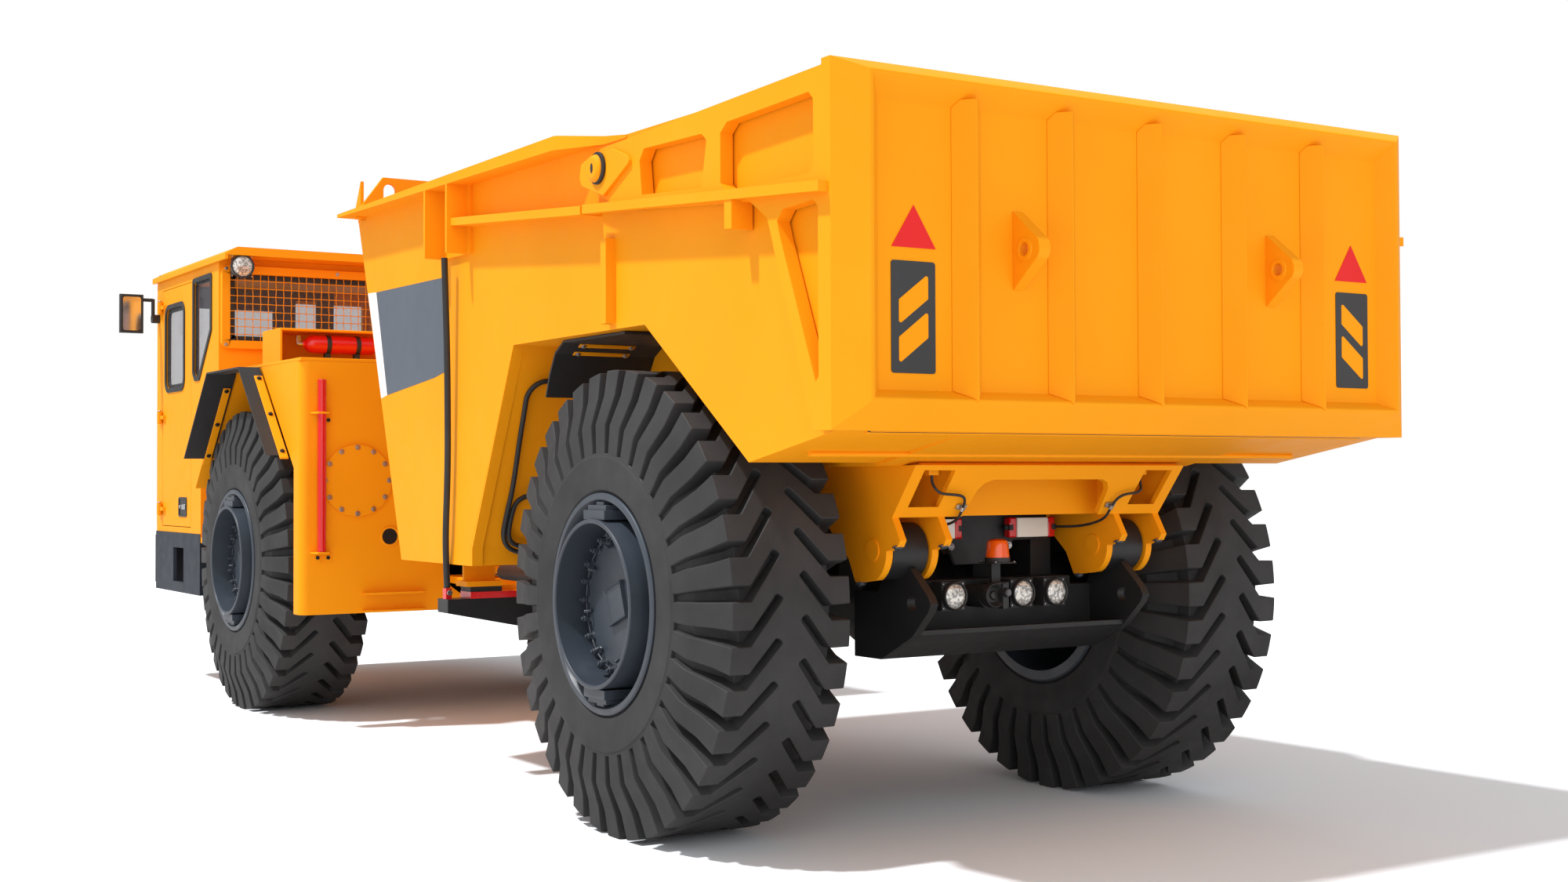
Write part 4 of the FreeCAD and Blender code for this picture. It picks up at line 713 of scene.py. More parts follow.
def addSlateStripe(bm):
    corners = sideStripes["slate"]
    rounded = roundCorners(corners, sideStripes["slateCorner"])
    steps = len(rounded) // len(corners)
    outline = [corners[0]] + rounded[steps:3 * steps] + corners[3:]
    addPlate(bm, onSide(outline, sideStripes["wall"]), leftward * 0.001)


def addWhiteStripe(bm):
    addPlate(bm, onSide(sideStripes["white"], sideStripes["wall"]), leftward * 0.001)


makePiece("slateStripe", "decalSlate", "load_body", addSlateStripe, mirrored=True, rounding=0)
makePiece("whiteStripe", "decalWhite", "load_body", addWhiteStripe, mirrored=True, rounding=0)
print("signs made")

# pins of the tailgate's arms

armPin = {
    "plate": [(0.23, 2.988), (0.128, 3.012), (-0.077, 3.013), (-0.209, 2.965), (-0.238, 2.934),
              (0.014, 2.818), (0.223, 2.888), (0.247, 2.927)],
    "face": 1.536,
    "thickness": 0.012,
    "centre": (0.068, 2.945),
    "capRadius": 0.062,
}


def addArmPlate(bm):
    addPlate(bm, onSide(roundCorners(armPin["plate"], 0.012, 3), armPin["face"] - 0.001),
             leftward * (armPin["thickness"] + 0.005))


# a dark ring set rearward behind the cap, showing as a crescent on one side: painted shade of the gap round the
# cap
def addArmCapShade(bm):
    x, z = armPin["centre"]
    foot = at(x - 0.012, armPin["face"] + 0.016, z)
    addRod(bm, foot, foot + leftward * 0.012, armPin["capRadius"] + 0.010, 40)


def addArmCap(bm):
    x, z = armPin["centre"]
    foot = at(x, armPin["face"] + 0.016, z)
    addRod(bm, foot, foot + leftward * 0.016, armPin["capRadius"], 40)
    addRod(bm, foot + leftward * 0.016, foot + leftward * 0.028, armPin["capRadius"], 40, 0.045)


# a thin dark oval disc on the cap's face: painted shade of the slot hole
def addArmSlitShade(bm):
    x, z = armPin["centre"]
    place = (Matrix.Translation(at(x, armPin["face"] + 0.0445, z)) @ Matrix.Rotation(math.radians(90), 4, "X")
             @ Matrix.Diagonal((0.011, 0.022, 0.002, 1)))
    bmesh.ops.create_cone(bm, cap_ends=True, segments=24, radius1=1, radius2=1, depth=1, matrix=place)


makePiece("armPinPlates", "bodyPaint", "tailgate", addArmPlate, mirrored=True, rounding=0.002)
makePiece("armPinCapShades", "rubber", "tailgate", addArmCapShade, mirrored=True)
makePiece("armPinCaps", "bodyPaint", "tailgate", addArmCap, mirrored=True, rounding=0.003)
makePiece("armPinSlitShades", "rubber", "tailgate", addArmSlitShade, mirrored=True, rounding=0)

# lamps, bolts and clips at the tail

tailLamp = {
    "inner": 0.134, "outer": 0.404, "low": 1.297, "high": 1.390, "rear": -0.720, "plate": -0.675,
    "endWidth": 0.043,
    "boardBolt": (0.165, 1.262),
    "board": [(-0.140, 1.180), (0.140, 1.180), (0.190, 1.285), (0.390, 1.285), (0.390, 1.620),
              (-0.390, 1.620), (-0.390, 1.285), (-0.190, 1.285)],
}


def addLampBoard(bm):
    addPlate(bm, onTail(tailLamp["board"], tailLamp["plate"]), forward * 0.020)


def addLampEnds(bm):
    for y0, y1 in ((tailLamp["inner"], tailLamp["inner"] + tailLamp["endWidth"]),
                   (tailLamp["outer"] - tailLamp["endWidth"], tailLamp["outer"])):
        addBox(bm, at(tailLamp["rear"], y0, tailLamp["low"]), at(tailLamp["plate"], y1, tailLamp["high"]))


def addLampMiddle(bm):
    y0 = tailLamp["inner"] + tailLamp["endWidth"] + 0.001
    y1 = tailLamp["outer"] - tailLamp["endWidth"] - 0.001
    addBox(bm, at(tailLamp["rear"] - 0.003, y0, tailLamp["low"] + 0.002),
           at(tailLamp["plate"], y1, tailLamp["high"] - 0.002))


def addLampNubs(bm):
    for y, out in ((tailLamp["inner"], -1), (tailLamp["outer"], 1)):
        foot = at(-0.698, y - out * 0.012, 1.344)
        addRod(bm, foot, foot + leftward * out * 0.027, 0.016, 20, 0.012)
        addBox(bm, at(tailLamp["rear"] - 0.002, min(y, y - out * 0.022), 1.331),
               at(tailLamp["rear"] + 0.02, max(y, y - out * 0.022), 1.357))
    addRod(bm, at(-0.713, 0.413, 1.344), at(-0.690, 0.413, 1.344), 0.010, 16)


makePiece("tailLampMiddles", "creamLens", "load_body", addLampMiddle, mirrored=True, rounding=0.004)
makePiece("tailLampEnds", "redLens", "load_body", addLampEnds, mirrored=True, rounding=0.008)
makePiece("tailLampNubs", "rubber", "load_body", addLampNubs, mirrored=True)
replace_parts(makePiece("tailLampBoard", "blackPaint", "load_body", addLampBoard, rounding=0.002), "tail_lamps")

floorRails = {
    "slot": (-1.700, 1.7445),
    "rails": [(-1.716, 1.747, 0.007), (-1.681, 1.741, 0.009), (-1.300, 1.665, 0.012)],
    "halfWidth": 1.330,
}


def addFloorRails(bm):
    for x, z, radius in floorRails["rails"]:
        addRod(bm, at(x, -floorRails["halfWidth"], z), at(x, floorRails["halfWidth"], z), radius, 16)


# a thin dark rubber rod laid in the slot between the rails: painted shade of the slot
def addFloorSlotShade(bm):
    x, z = floorRails["slot"]
    addRod(bm, at(x, -floorRails["halfWidth"], z), at(x, floorRails["halfWidth"], z), 0.006, 12)


makePiece("floorRails", "bodyPaint", "load_body", addFloorRails, rounding=0.001)
makePiece("floorSlotShade", "rubber", "load_body", addFloorSlotShade, rounding=0.001)

beacon = {"x": -0.860, "y": 0.050, "flangeLow": 1.186, "flangeTop": 1.206,
          "screwReach": 0.052, "bracketLow": 1.085, "bracketHalf": 0.025}


def addBeaconDome(bm):
    foot = at(beacon["x"], beacon["y"], beacon["flangeTop"])
    section = [(0.0, 0.054), (0.008, 0.054), (0.030, 0.052), (0.072, 0.048), (0.086, 0.042), (0.093, 0.030),
               (0.095, 0.0)]
    addTurned(bm, [foot + Vector((radius, 0, up)) for up, radius in section], foot, upward, 48)
    bmesh.ops.remove_doubles(bm, verts=bm.verts, dist=0.0001)


def addBeaconMount(bm):
    x, y, top = beacon["x"], beacon["y"], beacon["flangeTop"]
    addRod(bm, at(x, y, beacon["flangeLow"] + 0.006), at(x, y, top + 0.012), 0.057, 40)
    flange = roundCorners([(x - 0.062, y - 0.062), (x + 0.062, y - 0.062), (x + 0.062, y + 0.062),
                           (x - 0.062, y + 0.062)], 0.012)
    addPlate(bm, [at(px, py, beacon["flangeLow"] + 0.006) for px, py in flange], upward * 0.006)
    low, half = beacon["bracketLow"], beacon["bracketHalf"]
    addBox(bm, at(-0.850, y - half, low), at(-0.832, y + half, 1.192))
    addBox(bm, at(-0.850, y - half, low), at(-0.760, y + half, low + 0.018))


def addBeaconScrews(bm):
    for side in (-1, 1):
        for end in (-1, 1):
            foot = at(beacon["x"] + end * beacon["screwReach"], beacon["y"] + side * beacon["screwReach"],
                      beacon["flangeLow"] + 0.012)
            addBolt(bm, foot, upward, 0.0035)


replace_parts(makePiece("beaconMount", "darkPlastic", "rear_frame", addBeaconMount), "beacon")
makePiece("beaconDome", "amberLens", "rear_frame", addBeaconDome, rounding=0)
makePiece("beaconScrews", "steel", "rear_frame", addBeaconScrews, rounding=0)

# round lamps: where the rim's face is, which way it looks, and its size beside a rear one
roundLamps = {
    "rear_frame": [(-0.902, y, 1.058, -1, 1.0) for y in (0.320, -0.060, -0.250)],
    "front_frame": ([(8.262, y, 0.950, 1, 1.0) for y in (-1.18, -0.98, 0.98, 1.18)]
                    + [(6.150, 1.350, 3.122, -1, 1.36)]),
}


def addRoundGlass(bm, x, y, z, facing, size):
    foot = at(x, y, z)
    section = [(-0.010, 0.0545), (0.002, 0.0545), (0.009, 0.048), (0.015, 0.030), (0.017, 0.0)]
    addTurned(bm, [foot + Vector((facing * out, 0, radius * size)) for out, radius in section], foot, forward)


def addRoundRim(bm, x, y, z, facing, size):
    foot = at(x, y, z)
    section = [(-0.012, 0.062), (0.010, 0.062), (0.013, 0.059), (0.010, 0.055), (-0.012, 0.055)]
    points = [foot + Vector((facing * out, 0, radius * size)) for out, radius in section]
    addTurned(bm, points, foot, forward, closed=True)


def addRoundScrews(bm, x, y, z, facing, size):
    for side in (-1, 1):
        for end in (-1, 1):
            foot = at(x - facing * 0.014, y + side * 0.052 * size, z + end * 0.052 * size)
            addButton(bm, foot, forward * facing, 0.0035)


for body, places in roundLamps.items():
    for part, finish, adder in (("Glass", "lampGlass", addRoundGlass), ("Rims", "darkPlastic", addRoundRim),
                                ("Screws", "steel", addRoundScrews)):
        makePiece(body + "Lamp" + part, finish, body,
                  lambda bm: [adder(bm, *place) for place in places], rounding=0)


roofCup = {"place": (6.154, 1.350, 3.122), "radius": 0.076, "rim": 0.036, "depth": 0.090, "backRadius": 0.055}


def addRoofCup(bm):
    foot = at(*roofCup["place"])
    shoulder = foot + forward * roofCup["rim"]
    addRod(bm, foot, shoulder, roofCup["radius"], 48)
    addRod(bm, shoulder, foot + forward * roofCup["depth"], roofCup["radius"], 48, roofCup["backRadius"])


makePiece("roofLampCup", "darkPlastic", "front_frame", addRoofCup)

horn = {"face": -0.902, "y": 0.120, "z": 1.056}


def addHornBell(bm):
    foot = at(horn["face"], horn["y"], horn["z"])
    section = [(0.0, 0.055), (-0.034, 0.055), (-0.038, 0.051), (-0.034, 0.046), (-0.010, 0.034),
               (-0.010, 0.020), (-0.022, 0.016), (-0.024, 0.0)]
    addTurned(bm, [foot + Vector((out, 0, radius)) for out, radius in section], foot, forward)
    addBox(bm, foot + Vector((-0.046, -0.058, -0.060)), foot + Vector((-0.006, -0.030, 0.052)))
    addRod(bm, foot + Vector((-0.046, -0.044, 0.012)), foot + Vector((-0.066, -0.044, 0.012)), 0.021, 24,
           0.018)
    addBox(bm, foot + Vector((-0.036, -0.066, 0.046)), foot + Vector((0.0, -0.012, 0.056)))


def addHornRing(bm):
    foot = at(horn["face"] - 0.0655, horn["y"] - 0.044, horn["z"] + 0.012)
    addRod(bm, foot, foot + rearward * 0.003, 0.013, 24)
    addRod(bm, foot + rearward * 0.003, foot + rearward * 0.005, 0.008, 24)


makePiece("hornBell", "darkPlastic", "rear_frame", addHornBell)
makePiece("hornRing", "castMetal", "rear_frame", addHornRing, rounding=0)

tailBolts = {
    "tabs": [(-1.052, y, 1.283) for y in (0.492, 0.730)],
    "lowerTabs": [(-0.786, y, 1.122) for y in (0.492, 0.730)],
    "downward": (-0.30, 0, -0.95),
    "size": 0.019,
}


def addTabBolts(bm):
    out = Vector(tailBolts["downward"])
    for place in tailBolts["tabs"] + tailBolts["lowerTabs"]:
        addButton(bm, at(*place) - out.normalized() * 0.004, out, tailBolts["size"])


makePiece("tabBolts", "slatePaint", "load_body", addTabBolts, mirrored=True)

leadClip = {"place": (-1.084, 0.418, 1.4385), "lean": -37.9, "plate": (-1.0745, 0.418, 1.4490),
            "bolts": [(-1.078, y, 1.4455) for y in (0.399, 0.437)], "boltSize": 0.005}


def addLeadClips(bm):
    turn = Matrix.Rotation(math.radians(leadClip["lean"]), 4, "Y")
    place = Matrix.Translation(at(*leadClip["place"])) @ turn
    bmesh.ops.create_cone(bm, cap_ends=True, segments=20, radius1=0.010, radius2=0.010, depth=0.020,
                          matrix=place)
    plate = Matrix.Translation(at(*leadClip["plate"])) @ turn @ Matrix.Diagonal((0.012, 0.052, 0.024, 1))
    bmesh.ops.create_cube(bm, size=1, matrix=plate)
    for foot in leadClip["bolts"]:
        addBolt(bm, at(*foot), Vector((-0.789, 0, -0.6145)), leadClip["boltSize"])


makePiece("leadClips", "steel", "load_body", addLeadClips, mirrored=True, rounding=0.001)


def addPlateBolt(bm):
    addBolt(bm, at(tailLamp["plate"], *tailLamp["boardBolt"]), rearward, 0.011)


makePiece("boardBolt", "steel", "load_body", addPlateBolt, mirrored=True, rounding=0.001)
print("tail fittings made")

# windows, door and mirrors of the cab

cabSide = {
    "y": 1.450,
    "doorSeal": [(7.322, 2.271), (7.913, 2.271), (7.913, 2.969), (7.322, 2.969)],
    "doorSealCorner": 0.105,
    "doorFrame": [(7.345, 2.292), (7.890, 2.292), (7.890, 2.948), (7.345, 2.948)],
    "quarterSeal": [(6.575, 2.684), (6.905, 2.328), (7.030, 2.328), (7.092, 2.390), (7.092, 3.108),
                    (6.575, 3.112)],
    "quarterFrame": [(6.600, 2.690), (6.910, 2.350), (7.010, 2.350), (7.068, 2.400), (7.068, 3.087),
                     (6.600, 3.090)],
    "seal": 0.036,
}


def addDoorSeal(bm):
    corner = cabSide["doorSealCorner"]
    addRing(bm, onSide(roundCorners(cabSide["doorSeal"], corner, 8), cabSide["y"] - 0.001), cabSide["seal"],
            leftward * 0.010)
    addRing(bm, onSide(roundCorners(cabSide["doorFrame"], corner - 0.01, 8), cabSide["y"] - 0.027), 0.042,
            leftward * 0.016)


def addQuarterSeal(bm):
    addRing(bm, onSide(roundCorners(cabSide["quarterSeal"], 0.03, 5), cabSide["y"] - 0.001), cabSide["seal"],
            leftward * 0.010)
    addRing(bm, onSide(roundCorners(cabSide["quarterFrame"], 0.02, 4), cabSide["y"] - 0.027), 0.030,
            leftward * 0.016)


makePiece("doorSeal", "rubber", "cab_door", addDoorSeal, rounding=0.003)
makePiece("quarterSeal", "rubber", "front_frame", addQuarterSeal, rounding=0.003)

windscreenPosts = {
    "x": (8.120, 8.166),
    "posts": [(0.325, 0.515), (-0.005, 0.145)],
    "headers": [(-0.345, 0.145, 3.190), (0.145, 0.515, 3.085), (0.515, 1.445, 2.985)],  # ends in y, underside
    "low": 1.930,
    "high": 3.240,
}


def addWindscreenPosts(bm):
    x0, x1 = windscreenPosts["x"]
    for y0, y1 in windscreenPosts["posts"]:
        addBox(bm, at(x0, y0, windscreenPosts["low"]), at(x1, y1, windscreenPosts["high"]))
    for y0, y1, low in windscreenPosts["headers"]:
        addBox(bm, at(x0, y0, low), at(x1, y1, windscreenPosts["high"]))


makePiece("windscreenPosts", "darkPlastic", "front_frame", addWindscreenPosts, rounding=0.012)

doorHandle = {"low": (7.257, 1.296), "high": (7.486, 1.447), "lip": 0.014}


def addHandlePocket(bm):
    (x0, z0), (x1, z1) = doorHandle["low"], doorHandle["high"]
    outline = onSide(roundCorners([(x0, z0), (x1, z0), (x1, z1), (x0, z1)], 0.02), cabSide["y"] - 0.002)
    addRing(bm, outline, doorHandle["lip"], leftward * 0.009)
    addPlate(bm, outline, leftward * 0.003)


def addHandleLatch(bm):
    addBox(bm, at(7.300, 1.450, 1.352), at(7.395, 1.458, 1.392))
    addRod(bm, at(7.440, 1.449, 1.372), at(7.440, 1.460, 1.372), 0.014, 24)


makePiece("handlePocket", "darkPlastic", "cab_door", addHandlePocket, rounding=0.002)
makePiece("handleLatch", "steel", "cab_door", addHandleLatch, rounding=0.003)


hingeCap = {"x": 8.000, "y": 1.473, "tops": (1.402, 2.132, 3.012), "radius": 0.014}


def addHingeCaps(bm):
    for z in hingeCap["tops"]:
        top = at(hingeCap["x"], hingeCap["y"], z)
        addRod(bm, top - upward * 0.003, top + upward * 0.006, hingeCap["radius"], 20)


makePiece("hingeCaps", "steel", "front_frame", addHingeCaps)

mirrorHead = {"rear": 8.089, "low": (1.590, 2.770), "high": (1.750, 3.060)}


def addMirrorGlass(bm):
    (y0, z0), (y1, z1) = mirrorHead["low"], mirrorHead["high"]
    outline = roundCorners([(y0 + 0.01, z0 + 0.01), (y1 - 0.01, z0 + 0.01), (y1 - 0.01, z1 - 0.01),
                            (y0 + 0.01, z1 - 0.01)], 0.018)
    addPlate(bm, onTail(outline, mirrorHead["rear"]), rearward * 0.002)


def addMirrorRims(bm):
    (y0, z0), (y1, z1) = mirrorHead["low"], mirrorHead["high"]
    outline = roundCorners([(y0 - 0.008, z0 - 0.008), (y1 + 0.008, z0 - 0.008), (y1 + 0.008, z1 + 0.008),
                            (y0 - 0.008, z1 + 0.008)], 0.024)
    addRing(bm, onTail(outline, mirrorHead["rear"] + 0.012), 0.016, rearward * 0.017)


makePiece("mirrorGlass", "chrome", "front_frame", addMirrorGlass, mirrored=True, rounding=0)
makePiece("mirrorRims", "darkPlastic", "front_frame", addMirrorRims, mirrored=True, rounding=0.003)

# wire guard of the cab's rear window

guardLow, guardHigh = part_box("rear_guard")
guardWire = {"pitch": 0.058, "radius": 0.0030, "crimp": 0.0060, "border": 0.060, "borderUp": 0.050}


def addTube(bm, points, radius, segments=6):
    rings = []
    for i, point in enumerate(points):
        run = points[min(i + 1, len(points) - 1)] - points[max(i - 1, 0)]
        turn = run.to_track_quat("Z", "Y").to_matrix().to_4x4()
        verts = bmesh.ops.create_circle(bm, cap_ends=False, segments=segments, radius=radius,
                                        matrix=Matrix.Translation(point) @ turn)["verts"]
        rings.append(list({edge for vert in verts for edge in vert.link_edges}))
    for near, far in zip(rings, rings[1:]):
        bmesh.ops.bridge_loops(bm, edges=near + far)


def addGuardWires(bm):
    x = (guardLow[0] + guardHigh[0]) / 2 - rearAxleX
    y0, y1 = guardLow[1] + guardWire["border"], guardHigh[1] - guardWire["border"]
    z0, z1 = guardLow[2] + guardWire["borderUp"], guardHigh[2] - guardWire["borderUp"]
    columns, rows = round((y1 - y0) / guardWire["pitch"]), round((z1 - z0) / guardWire["pitch"])
    crimp = guardWire["crimp"]
    for i in range(1, columns):
        y = y0 + (y1 - y0) * i / columns
        points = [at(x + crimp * (-1) ** (i + j), y, z0 + (z1 - z0) * j / rows) for j in range(rows + 1)]
        addTube(bm, points, guardWire["radius"])
    for j in range(1, rows):
        z = z0 + (z1 - z0) * j / rows
        points = [at(x - crimp * (-1) ** (i + j), y0 + (y1 - y0) * i / columns, z)
                  for i in range(columns + 1)]
        addTube(bm, points, guardWire["radius"])


def addGuardFrame(bm):
    corners = [(guardLow[1], guardLow[2]), (guardHigh[1], guardLow[2]), (guardHigh[1], guardHigh[2]),
               (guardLow[1], guardHigh[2])]
    addRing(bm, onTail(roundCorners(corners, 0.055, 6), guardLow[0] - rearAxleX), guardWire["border"],
            forward * (guardHigh[0] - guardLow[0]))


def addGuardSeal(bm):
    x = guardHigh[0] - rearAxleX
    outline = [(guardLow[1] + 0.03, guardLow[2] + 0.02), (guardHigh[1] - 0.03, guardLow[2] + 0.02),
               (guardHigh[1] - 0.03, guardHigh[2] - 0.02), (guardLow[1] + 0.03, guardHigh[2] - 0.02)]
    addRing(bm, onTail(roundCorners(outline, 0.05), x - 0.012), 0.075, forward * 0.010)


def addGuardBolts(bm):
    x = guardLow[0] - rearAxleX
    for y in (guardLow[1] + 0.03, (guardLow[1] + guardHigh[1]) / 2, guardHigh[1] - 0.03):
        for z in (guardLow[2] + 0.026, guardHigh[2] - 0.026):
            addBolt(bm, at(x, y, z), rearward, 0.009)


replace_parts(makePiece("guardFrame", "bodyPaint", "front_frame", addGuardFrame, rounding=0.006), "rear_guard")
makePiece("guardWires", "bodyPaint", "front_frame", addGuardWires, rounding=0, creaseDegrees=80)
makePiece("guardSeal", "rubber", "front_frame", addGuardSeal, rounding=0.003)
makePiece("guardBolts", "steel", "front_frame", addGuardBolts, rounding=0.001)

# seats

seats = {
    "places": [(7.220, 1.000), (7.220, 0.150)],
    "cushion": [(-0.250, 1.575), (0.250, 1.575), (0.262, 1.620), (0.240, 1.680), (-0.160, 1.668),
                (-0.250, 1.680)],
    "back": [(-0.250, 1.690), (-0.130, 1.690), (-0.160, 1.900), (-0.205, 2.150), (-0.215, 2.290),
             (-0.285, 2.290), (-0.280, 2.000)],
    "head": [(-0.272, 2.310), (-0.215, 2.310), (-0.208, 2.420), (-0.225, 2.515), (-0.280, 2.515)],
    "halfWidths": {"cushion": 0.238, "back": 0.226, "head": 0.128},
    "softness": 0.026,
}


def makePad(name, outline, x, y, halfWidth):
    bm = bmesh.new()
    addPlate(bm, [at(x + px, y - halfWidth, z) for px, z in outline], leftward * 2 * halfWidth)
    ends = [edge for edge in bm.edges if edge.calc_length() > 0]
    bmesh.ops.bevel(bm, geom=ends, offset=seats["softness"], affect="EDGES", segments=4, profile=0.5,
                    material=-1, clamp_overlap=True)
    pad = finishPiece(bm, name, "seatVinyl", "front_frame", creaseDegrees=60)
    return pad


def addSeatFrames(bm):
    for x, y in seats["places"]:
        addRod(bm, at(x, y, 1.245), at(x, y, 1.560), 0.060, 32)
        addBox(bm, at(x - 0.200, y - 0.190, 1.545), at(x + 0.200, y + 0.190, 1.580))
        addPlate(bm, [at(x + px, y - 0.180, z) for px, z in ((-0.285, 1.66), (-0.265, 1.66), (-0.288, 2.28),
                                                             (-0.300, 2.28))], leftward * 0.360)
        for side in (-0.06, 0.06):
            addRod(bm, at(x - 0.250, y + side, 2.260), at(x - 0.250, y + side, 2.340), 0.008, 12)


for number, (x, y) in enumerate(seats["places"], 1):
    for pad in ("cushion", "back", "head"):
        makePad(f"seatPad{number}_{pad}", seats[pad], x, y, seats["halfWidths"][pad])
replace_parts(makePiece("seatFrames", "darkPlastic", "front_frame", addSeatFrames, rounding=0.004), "cab_seats")
print("cab fitted")

# front frame: cover, bolts, lock bar and holders on the rear wall, bolts of the strips on the fenders

rearWall = {
    "x": 4.250,
    "coverCentre": (1.169, 1.570),
    "coverRadius": 0.230,
    "boltCircle": 0.212,
    "coverBolts": 12,
    "plug": (0.948, 1.208),
    "blackBolts": [(1.358, 1.954), (1.427, 1.082), (1.359, 1.081)],
    "bar": {"y": 1.412, "radius": 0.027, "low": 1.1205, "high": 2.2095},
    "ledges": [(0.836, 0.852), (0.724, 0.740)],
    "ledge": [(4.252, 0.712), (4.205, 0.712), (4.205, 0.735), (4.190, 0.735), (4.190, 1.085), (4.205, 1.085),
              (4.205, 1.130), (4.252, 1.130)],
}


def addTankCovers(bm):
    y, z = rearWall["coverCentre"]
    foot = at(rearWall["x"], y, z)
    addRod(bm, foot + forward * 0.002, foot + rearward * 0.020, rearWall["coverRadius"], 64)
    y, z = rearWall["plug"]
    foot = at(rearWall["x"], y, z)
    section = [(0.002, 0.068), (-0.010, 0.066), (-0.014, 0.060), (-0.012, 0.053), (0.002, 0.050)]
    addTurned(bm, [foot + Vector((out, 0, radius)) for out, radius in section], foot, forward, closed=True)
    for low, high in rearWall["ledges"]:
        addPlate(bm, [at(x, y, low) for x, y in rearWall["ledge"]], upward * (high - low))


def addCoverBolts(bm):
    y, z = rearWall["coverCentre"]
    for i in range(rearWall["coverBolts"]):
        angle = 2 * math.pi * i / rearWall["coverBolts"]
        foot = at(rearWall["x"] - 0.020, y + rearWall["boltCircle"] * math.cos(angle),
                  z + rearWall["boltCircle"] * math.sin(angle))
        addBolt(bm, foot, rearward, 0.0115)


def addLockHolders(bm):
    for z, tabs in ((1.992, (1.358,)), (1.106, (1.427, 1.359))):
        addPlate(bm, [at(4.251, 1.338, z), at(4.175, 1.372, z), at(4.170, 1.450, z), at(4.251, 1.474, z)],
                 upward * 0.013)
        for y in tabs:
            addBox(bm, at(4.243, y - 0.024, z - 0.060), at(4.251, y + 0.024, z + 0.002))


def addLockBar(bm):
    bar = rearWall["bar"]
    addRod(bm, at(4.205, bar["y"], bar["low"]), at(4.205, bar["y"], bar["high"]), bar["radius"], 40)


def addHoleShadeAndBolts(bm):
    y, z = rearWall["plug"]
    foot = at(rearWall["x"], y, z)
    # a black disc just proud of the wall inside the plug ring: painted shade of the hole, with a hex head in
    # it; the bolts below are black
    addRod(bm, foot + forward * 0.002, foot + rearward * 0.003, 0.052, 40)
    addRod(bm, foot, foot + rearward * 0.006, 0.020, 6)
    for y, z in rearWall["blackBolts"]:
        addBolt(bm, at(rearWall["x"], y, z), rearward, 0.013)


makePiece("tankCovers", "bodyPaint", "front_frame", addTankCovers, mirrored=True, rounding=0.003)
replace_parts(makePiece("lockBarRound", "redPaint", "front_frame", addLockBar, rounding=0.002), "lock_bar")
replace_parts(makePiece("lockHolders", "bodyPaint", "front_frame", addLockHolders, rounding=0.002),
            "lock_brackets")
makePiece("coverBolts", "steel", "front_frame", addCoverBolts, mirrored=True, rounding=0.001)
makePiece("wallHoleShadeAndBolts", "blackPaint", "front_frame", addHoleShadeAndBolts, mirrored=True, rounding=0.001)

# two points of each fender's slope, the strip's middle line, and how deep its bolts' feet lie under the slope
fenderStrips = [
    {"from": (4.386, 1.650), "to": (5.102, 2.350), "y": 1.568, "shares": (0.17, 0.52, 0.87),
     "under": 0.012, "out": 1},
    {"from": (6.709, 1.530), "to": (5.889, 2.350), "y": 1.512, "shares": (0.31, 0.58, 0.86),
     "under": 0.041, "out": -1},
]


def addStripBolts(bm):
    for strip in fenderStrips:
        low, high = Vector(strip["from"]), Vector(strip["to"])
        run = (high - low).normalized()
        outward = Vector((-run.y, run.x)) if run.x > 0 else Vector((run.y, -run.x))
        for share in strip["shares"]:
            x, z = low.lerp(high, share) - outward * strip["under"]
            addBolt(bm, at(x, strip["y"], z), Vector((outward.x, 0, outward.y)) * strip["out"], 0.011)


makePiece("stripBolts", "blackPaint", "front_frame", addStripBolts, mirrored=True, rounding=0.001)

# strips on the mudflaps, and pins of the ropes

mudStrips = {"places": [(0.742, 2.212), (0.804, 2.178)], "lean": 28.7, "inner": 1.010, "outer": 1.310}


def addMudStrips(bm):
    for x, z in mudStrips["places"]:
        place = (Matrix.Translation(at(x, (mudStrips["inner"] + mudStrips["outer"]) / 2, z))
                 @ Matrix.Rotation(math.radians(mudStrips["lean"]), 4, "Y")
                 @ Matrix.Diagonal((0.030, mudStrips["outer"] - mudStrips["inner"], 0.008, 1)))
        bmesh.ops.create_cube(bm, size=1, matrix=place)


def addMudBolts(bm):
    for x, z in mudStrips["places"]:
        for y in (mudStrips["inner"] + 0.022, mudStrips["outer"] - 0.022):
            addBolt(bm, at(x - 0.002, y, z - 0.003), Vector((-0.48, 0, -0.877)), 0.009)


makePiece("mudStrips", "bodyPaint", "load_body", addMudStrips, mirrored=True, rounding=0.002)
makePiece("mudBolts", "steel", "load_body", addMudBolts, mirrored=True, rounding=0.001)


ropePin = {"y": 1.477, "z": 0.975, "shank": (1.950, 2.020, 0.009), "head": (1.944, 1.951, 0.015)}


def addRopePins(bm):
    y, z = ropePin["y"], ropePin["z"]
    for (start, end, radius), segments in ((ropePin["shank"], 16), (ropePin["head"], 20)):
        addRod(bm, at(start, y, z), at(end, y, z), radius, segments)


makePiece("ropePins", "steel", "rear_frame", addRopePins, mirrored=True, rounding=0.001)

# extinguisher

bottle = {"x": 5.300, "z": 2.512, "radius": 0.063, "low": 0.700, "high": 1.110, "straps": (0.800, 1.010)}


def addBottle(bm):
    reach = bottle["radius"]
    low, high = bottle["low"], bottle["high"]
    section = [(low - 0.055, 0.0), (low - 0.048, 0.030), (low - 0.025, 0.053), (low, reach), (high, reach),
               (high + 0.030, 0.055), (high + 0.055, 0.034), (high + 0.062, 0.022), (high + 0.075, 0.022),
               (high + 0.075, 0.0)]
    centre = at(bottle["x"], 0, bottle["z"])
    addTurned(bm, [centre + Vector((0, y, radius)) for y, radius in section], centre, leftward)
    bmesh.ops.remove_doubles(bm, verts=bm.verts, dist=0.0001)


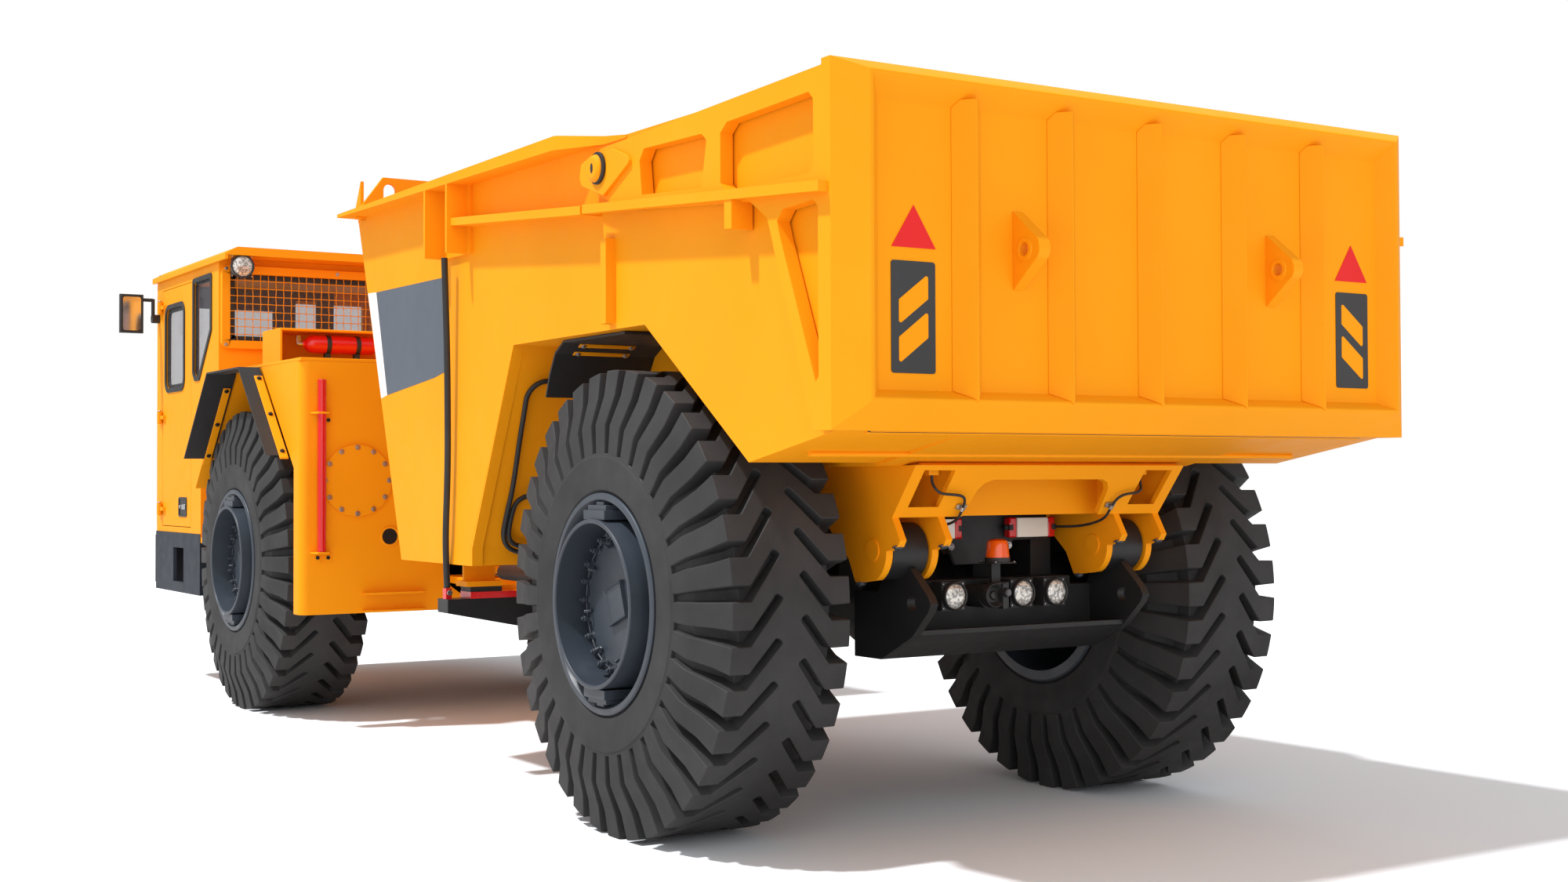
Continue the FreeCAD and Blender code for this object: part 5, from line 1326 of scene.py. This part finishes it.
def addBottleStraps(bm):
    for y in bottle["straps"]:
        foot = at(bottle["x"], y - 0.016, bottle["z"])
        addRod(bm, foot, foot + leftward * 0.032, bottle["radius"] + 0.003, 40)
        addBox(bm, at(bottle["x"] - 0.020, y - 0.020, 2.364), at(bottle["x"] + 0.020, y + 0.020, 2.460))


def addBottleValve(bm):
    x, z, top = bottle["x"], bottle["z"], bottle["high"] + 0.073
    addRod(bm, at(x, top, z), at(x, top + 0.034, z), 0.018, 24)
    addBox(bm, at(x - 0.009, top + 0.014, z - 0.006), at(x + 0.009, top + 0.044, z + 0.060))
    addBox(bm, at(x - 0.008, top + 0.020, z + 0.030), at(x + 0.008, top + 0.028, z + 0.052))


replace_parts(makePiece("bottleShell", "redPaint", "front_frame", addBottle, rounding=0, creaseDegrees=50),
            "extinguisher")
makePiece("bottleStraps", "rubber", "front_frame", addBottleStraps, rounding=0.002)
makePiece("bottleValve", "steel", "front_frame", addBottleValve, rounding=0.002)
print("front fittings made")

# floor and light

studio = {
    "floorSize": 60.0,
    "floorShown": (0.93, 0.96, 1.0),   # what the camera sees
    "floorGiven": (0.74, 0.74, 0.74),  # what the truck's underside gets back
    "worldShade": 0.58,
    "sunDirection": (-0.16, -0.50, -1.0),
    "sunStrength": 3.4,
    "sunSoftness": 3.0,
    "fillDirection": (0.85, -0.35, -0.30),
    "fillStrength": 0.82,
    "fillSoftness": 60.0,
}


def makeStudio():
    bm = bmesh.new()
    bmesh.ops.create_grid(bm, x_segments=1, y_segments=1, size=studio["floorSize"])
    mesh = bpy.data.meshes.new("studioFloor")
    bm.to_mesh(mesh)
    bm.free()
    floor = bpy.data.objects.new("studioFloor", mesh)
    bpy.context.scene.collection.objects.link(floor)
    material, nodes, links, shader = nodeMaterial("floorWhite")
    seen = nodes.new("ShaderNodeLightPath")
    white = nodes.new("ShaderNodeMixRGB")
    white.inputs["Color1"].default_value = (*studio["floorGiven"], 1)
    white.inputs["Color2"].default_value = (*studio["floorShown"], 1)
    links.new(seen.outputs["Is Camera Ray"], white.inputs["Fac"])
    links.new(white.outputs["Color"], shader.inputs["Base Color"])
    shader.inputs["Roughness"].default_value = 0.9
    shader.inputs["Specular IOR Level"].default_value = 0.1
    mesh.materials.append(material)
    world = bpy.data.worlds.new("studioWorld")
    bpy.context.scene.world = world
    world.use_nodes = True
    nodes, links = world.node_tree.nodes, world.node_tree.links
    backdrop = nodes["Background"]
    backdrop.inputs["Color"].default_value = (1, 1, 1, 1)
    path = nodes.new("ShaderNodeLightPath")
    seen = nodes.new("ShaderNodeMath")
    seen.operation = "MAXIMUM"
    links.new(path.outputs["Is Camera Ray"], seen.inputs[0])
    links.new(path.outputs["Is Transmission Ray"], seen.inputs[1])
    level = nodes.new("ShaderNodeMapRange")
    level.inputs["To Min"].default_value = studio["worldShade"]
    level.inputs["To Max"].default_value = 1.0
    links.new(seen.outputs["Value"], level.inputs["Value"])
    links.new(level.outputs["Result"], backdrop.inputs["Strength"])
    for name, strength, softness in (("sun", studio["sunStrength"], studio["sunSoftness"]),
                                     ("fill", studio["fillStrength"], studio["fillSoftness"])):
        lamp = bpy.data.lights.new(name, "SUN")
        lamp.energy = strength
        lamp.angle = math.radians(softness)
        lampObject = bpy.data.objects.new(name, lamp)
        bpy.context.scene.collection.objects.link(lampObject)
        lampObject.rotation_euler = Vector(studio[name + "Direction"]).to_track_quat("-Z", "Y").to_euler()


makeStudio()
bpy.context.scene.view_settings.view_transform = "Standard"
print("studio ready")
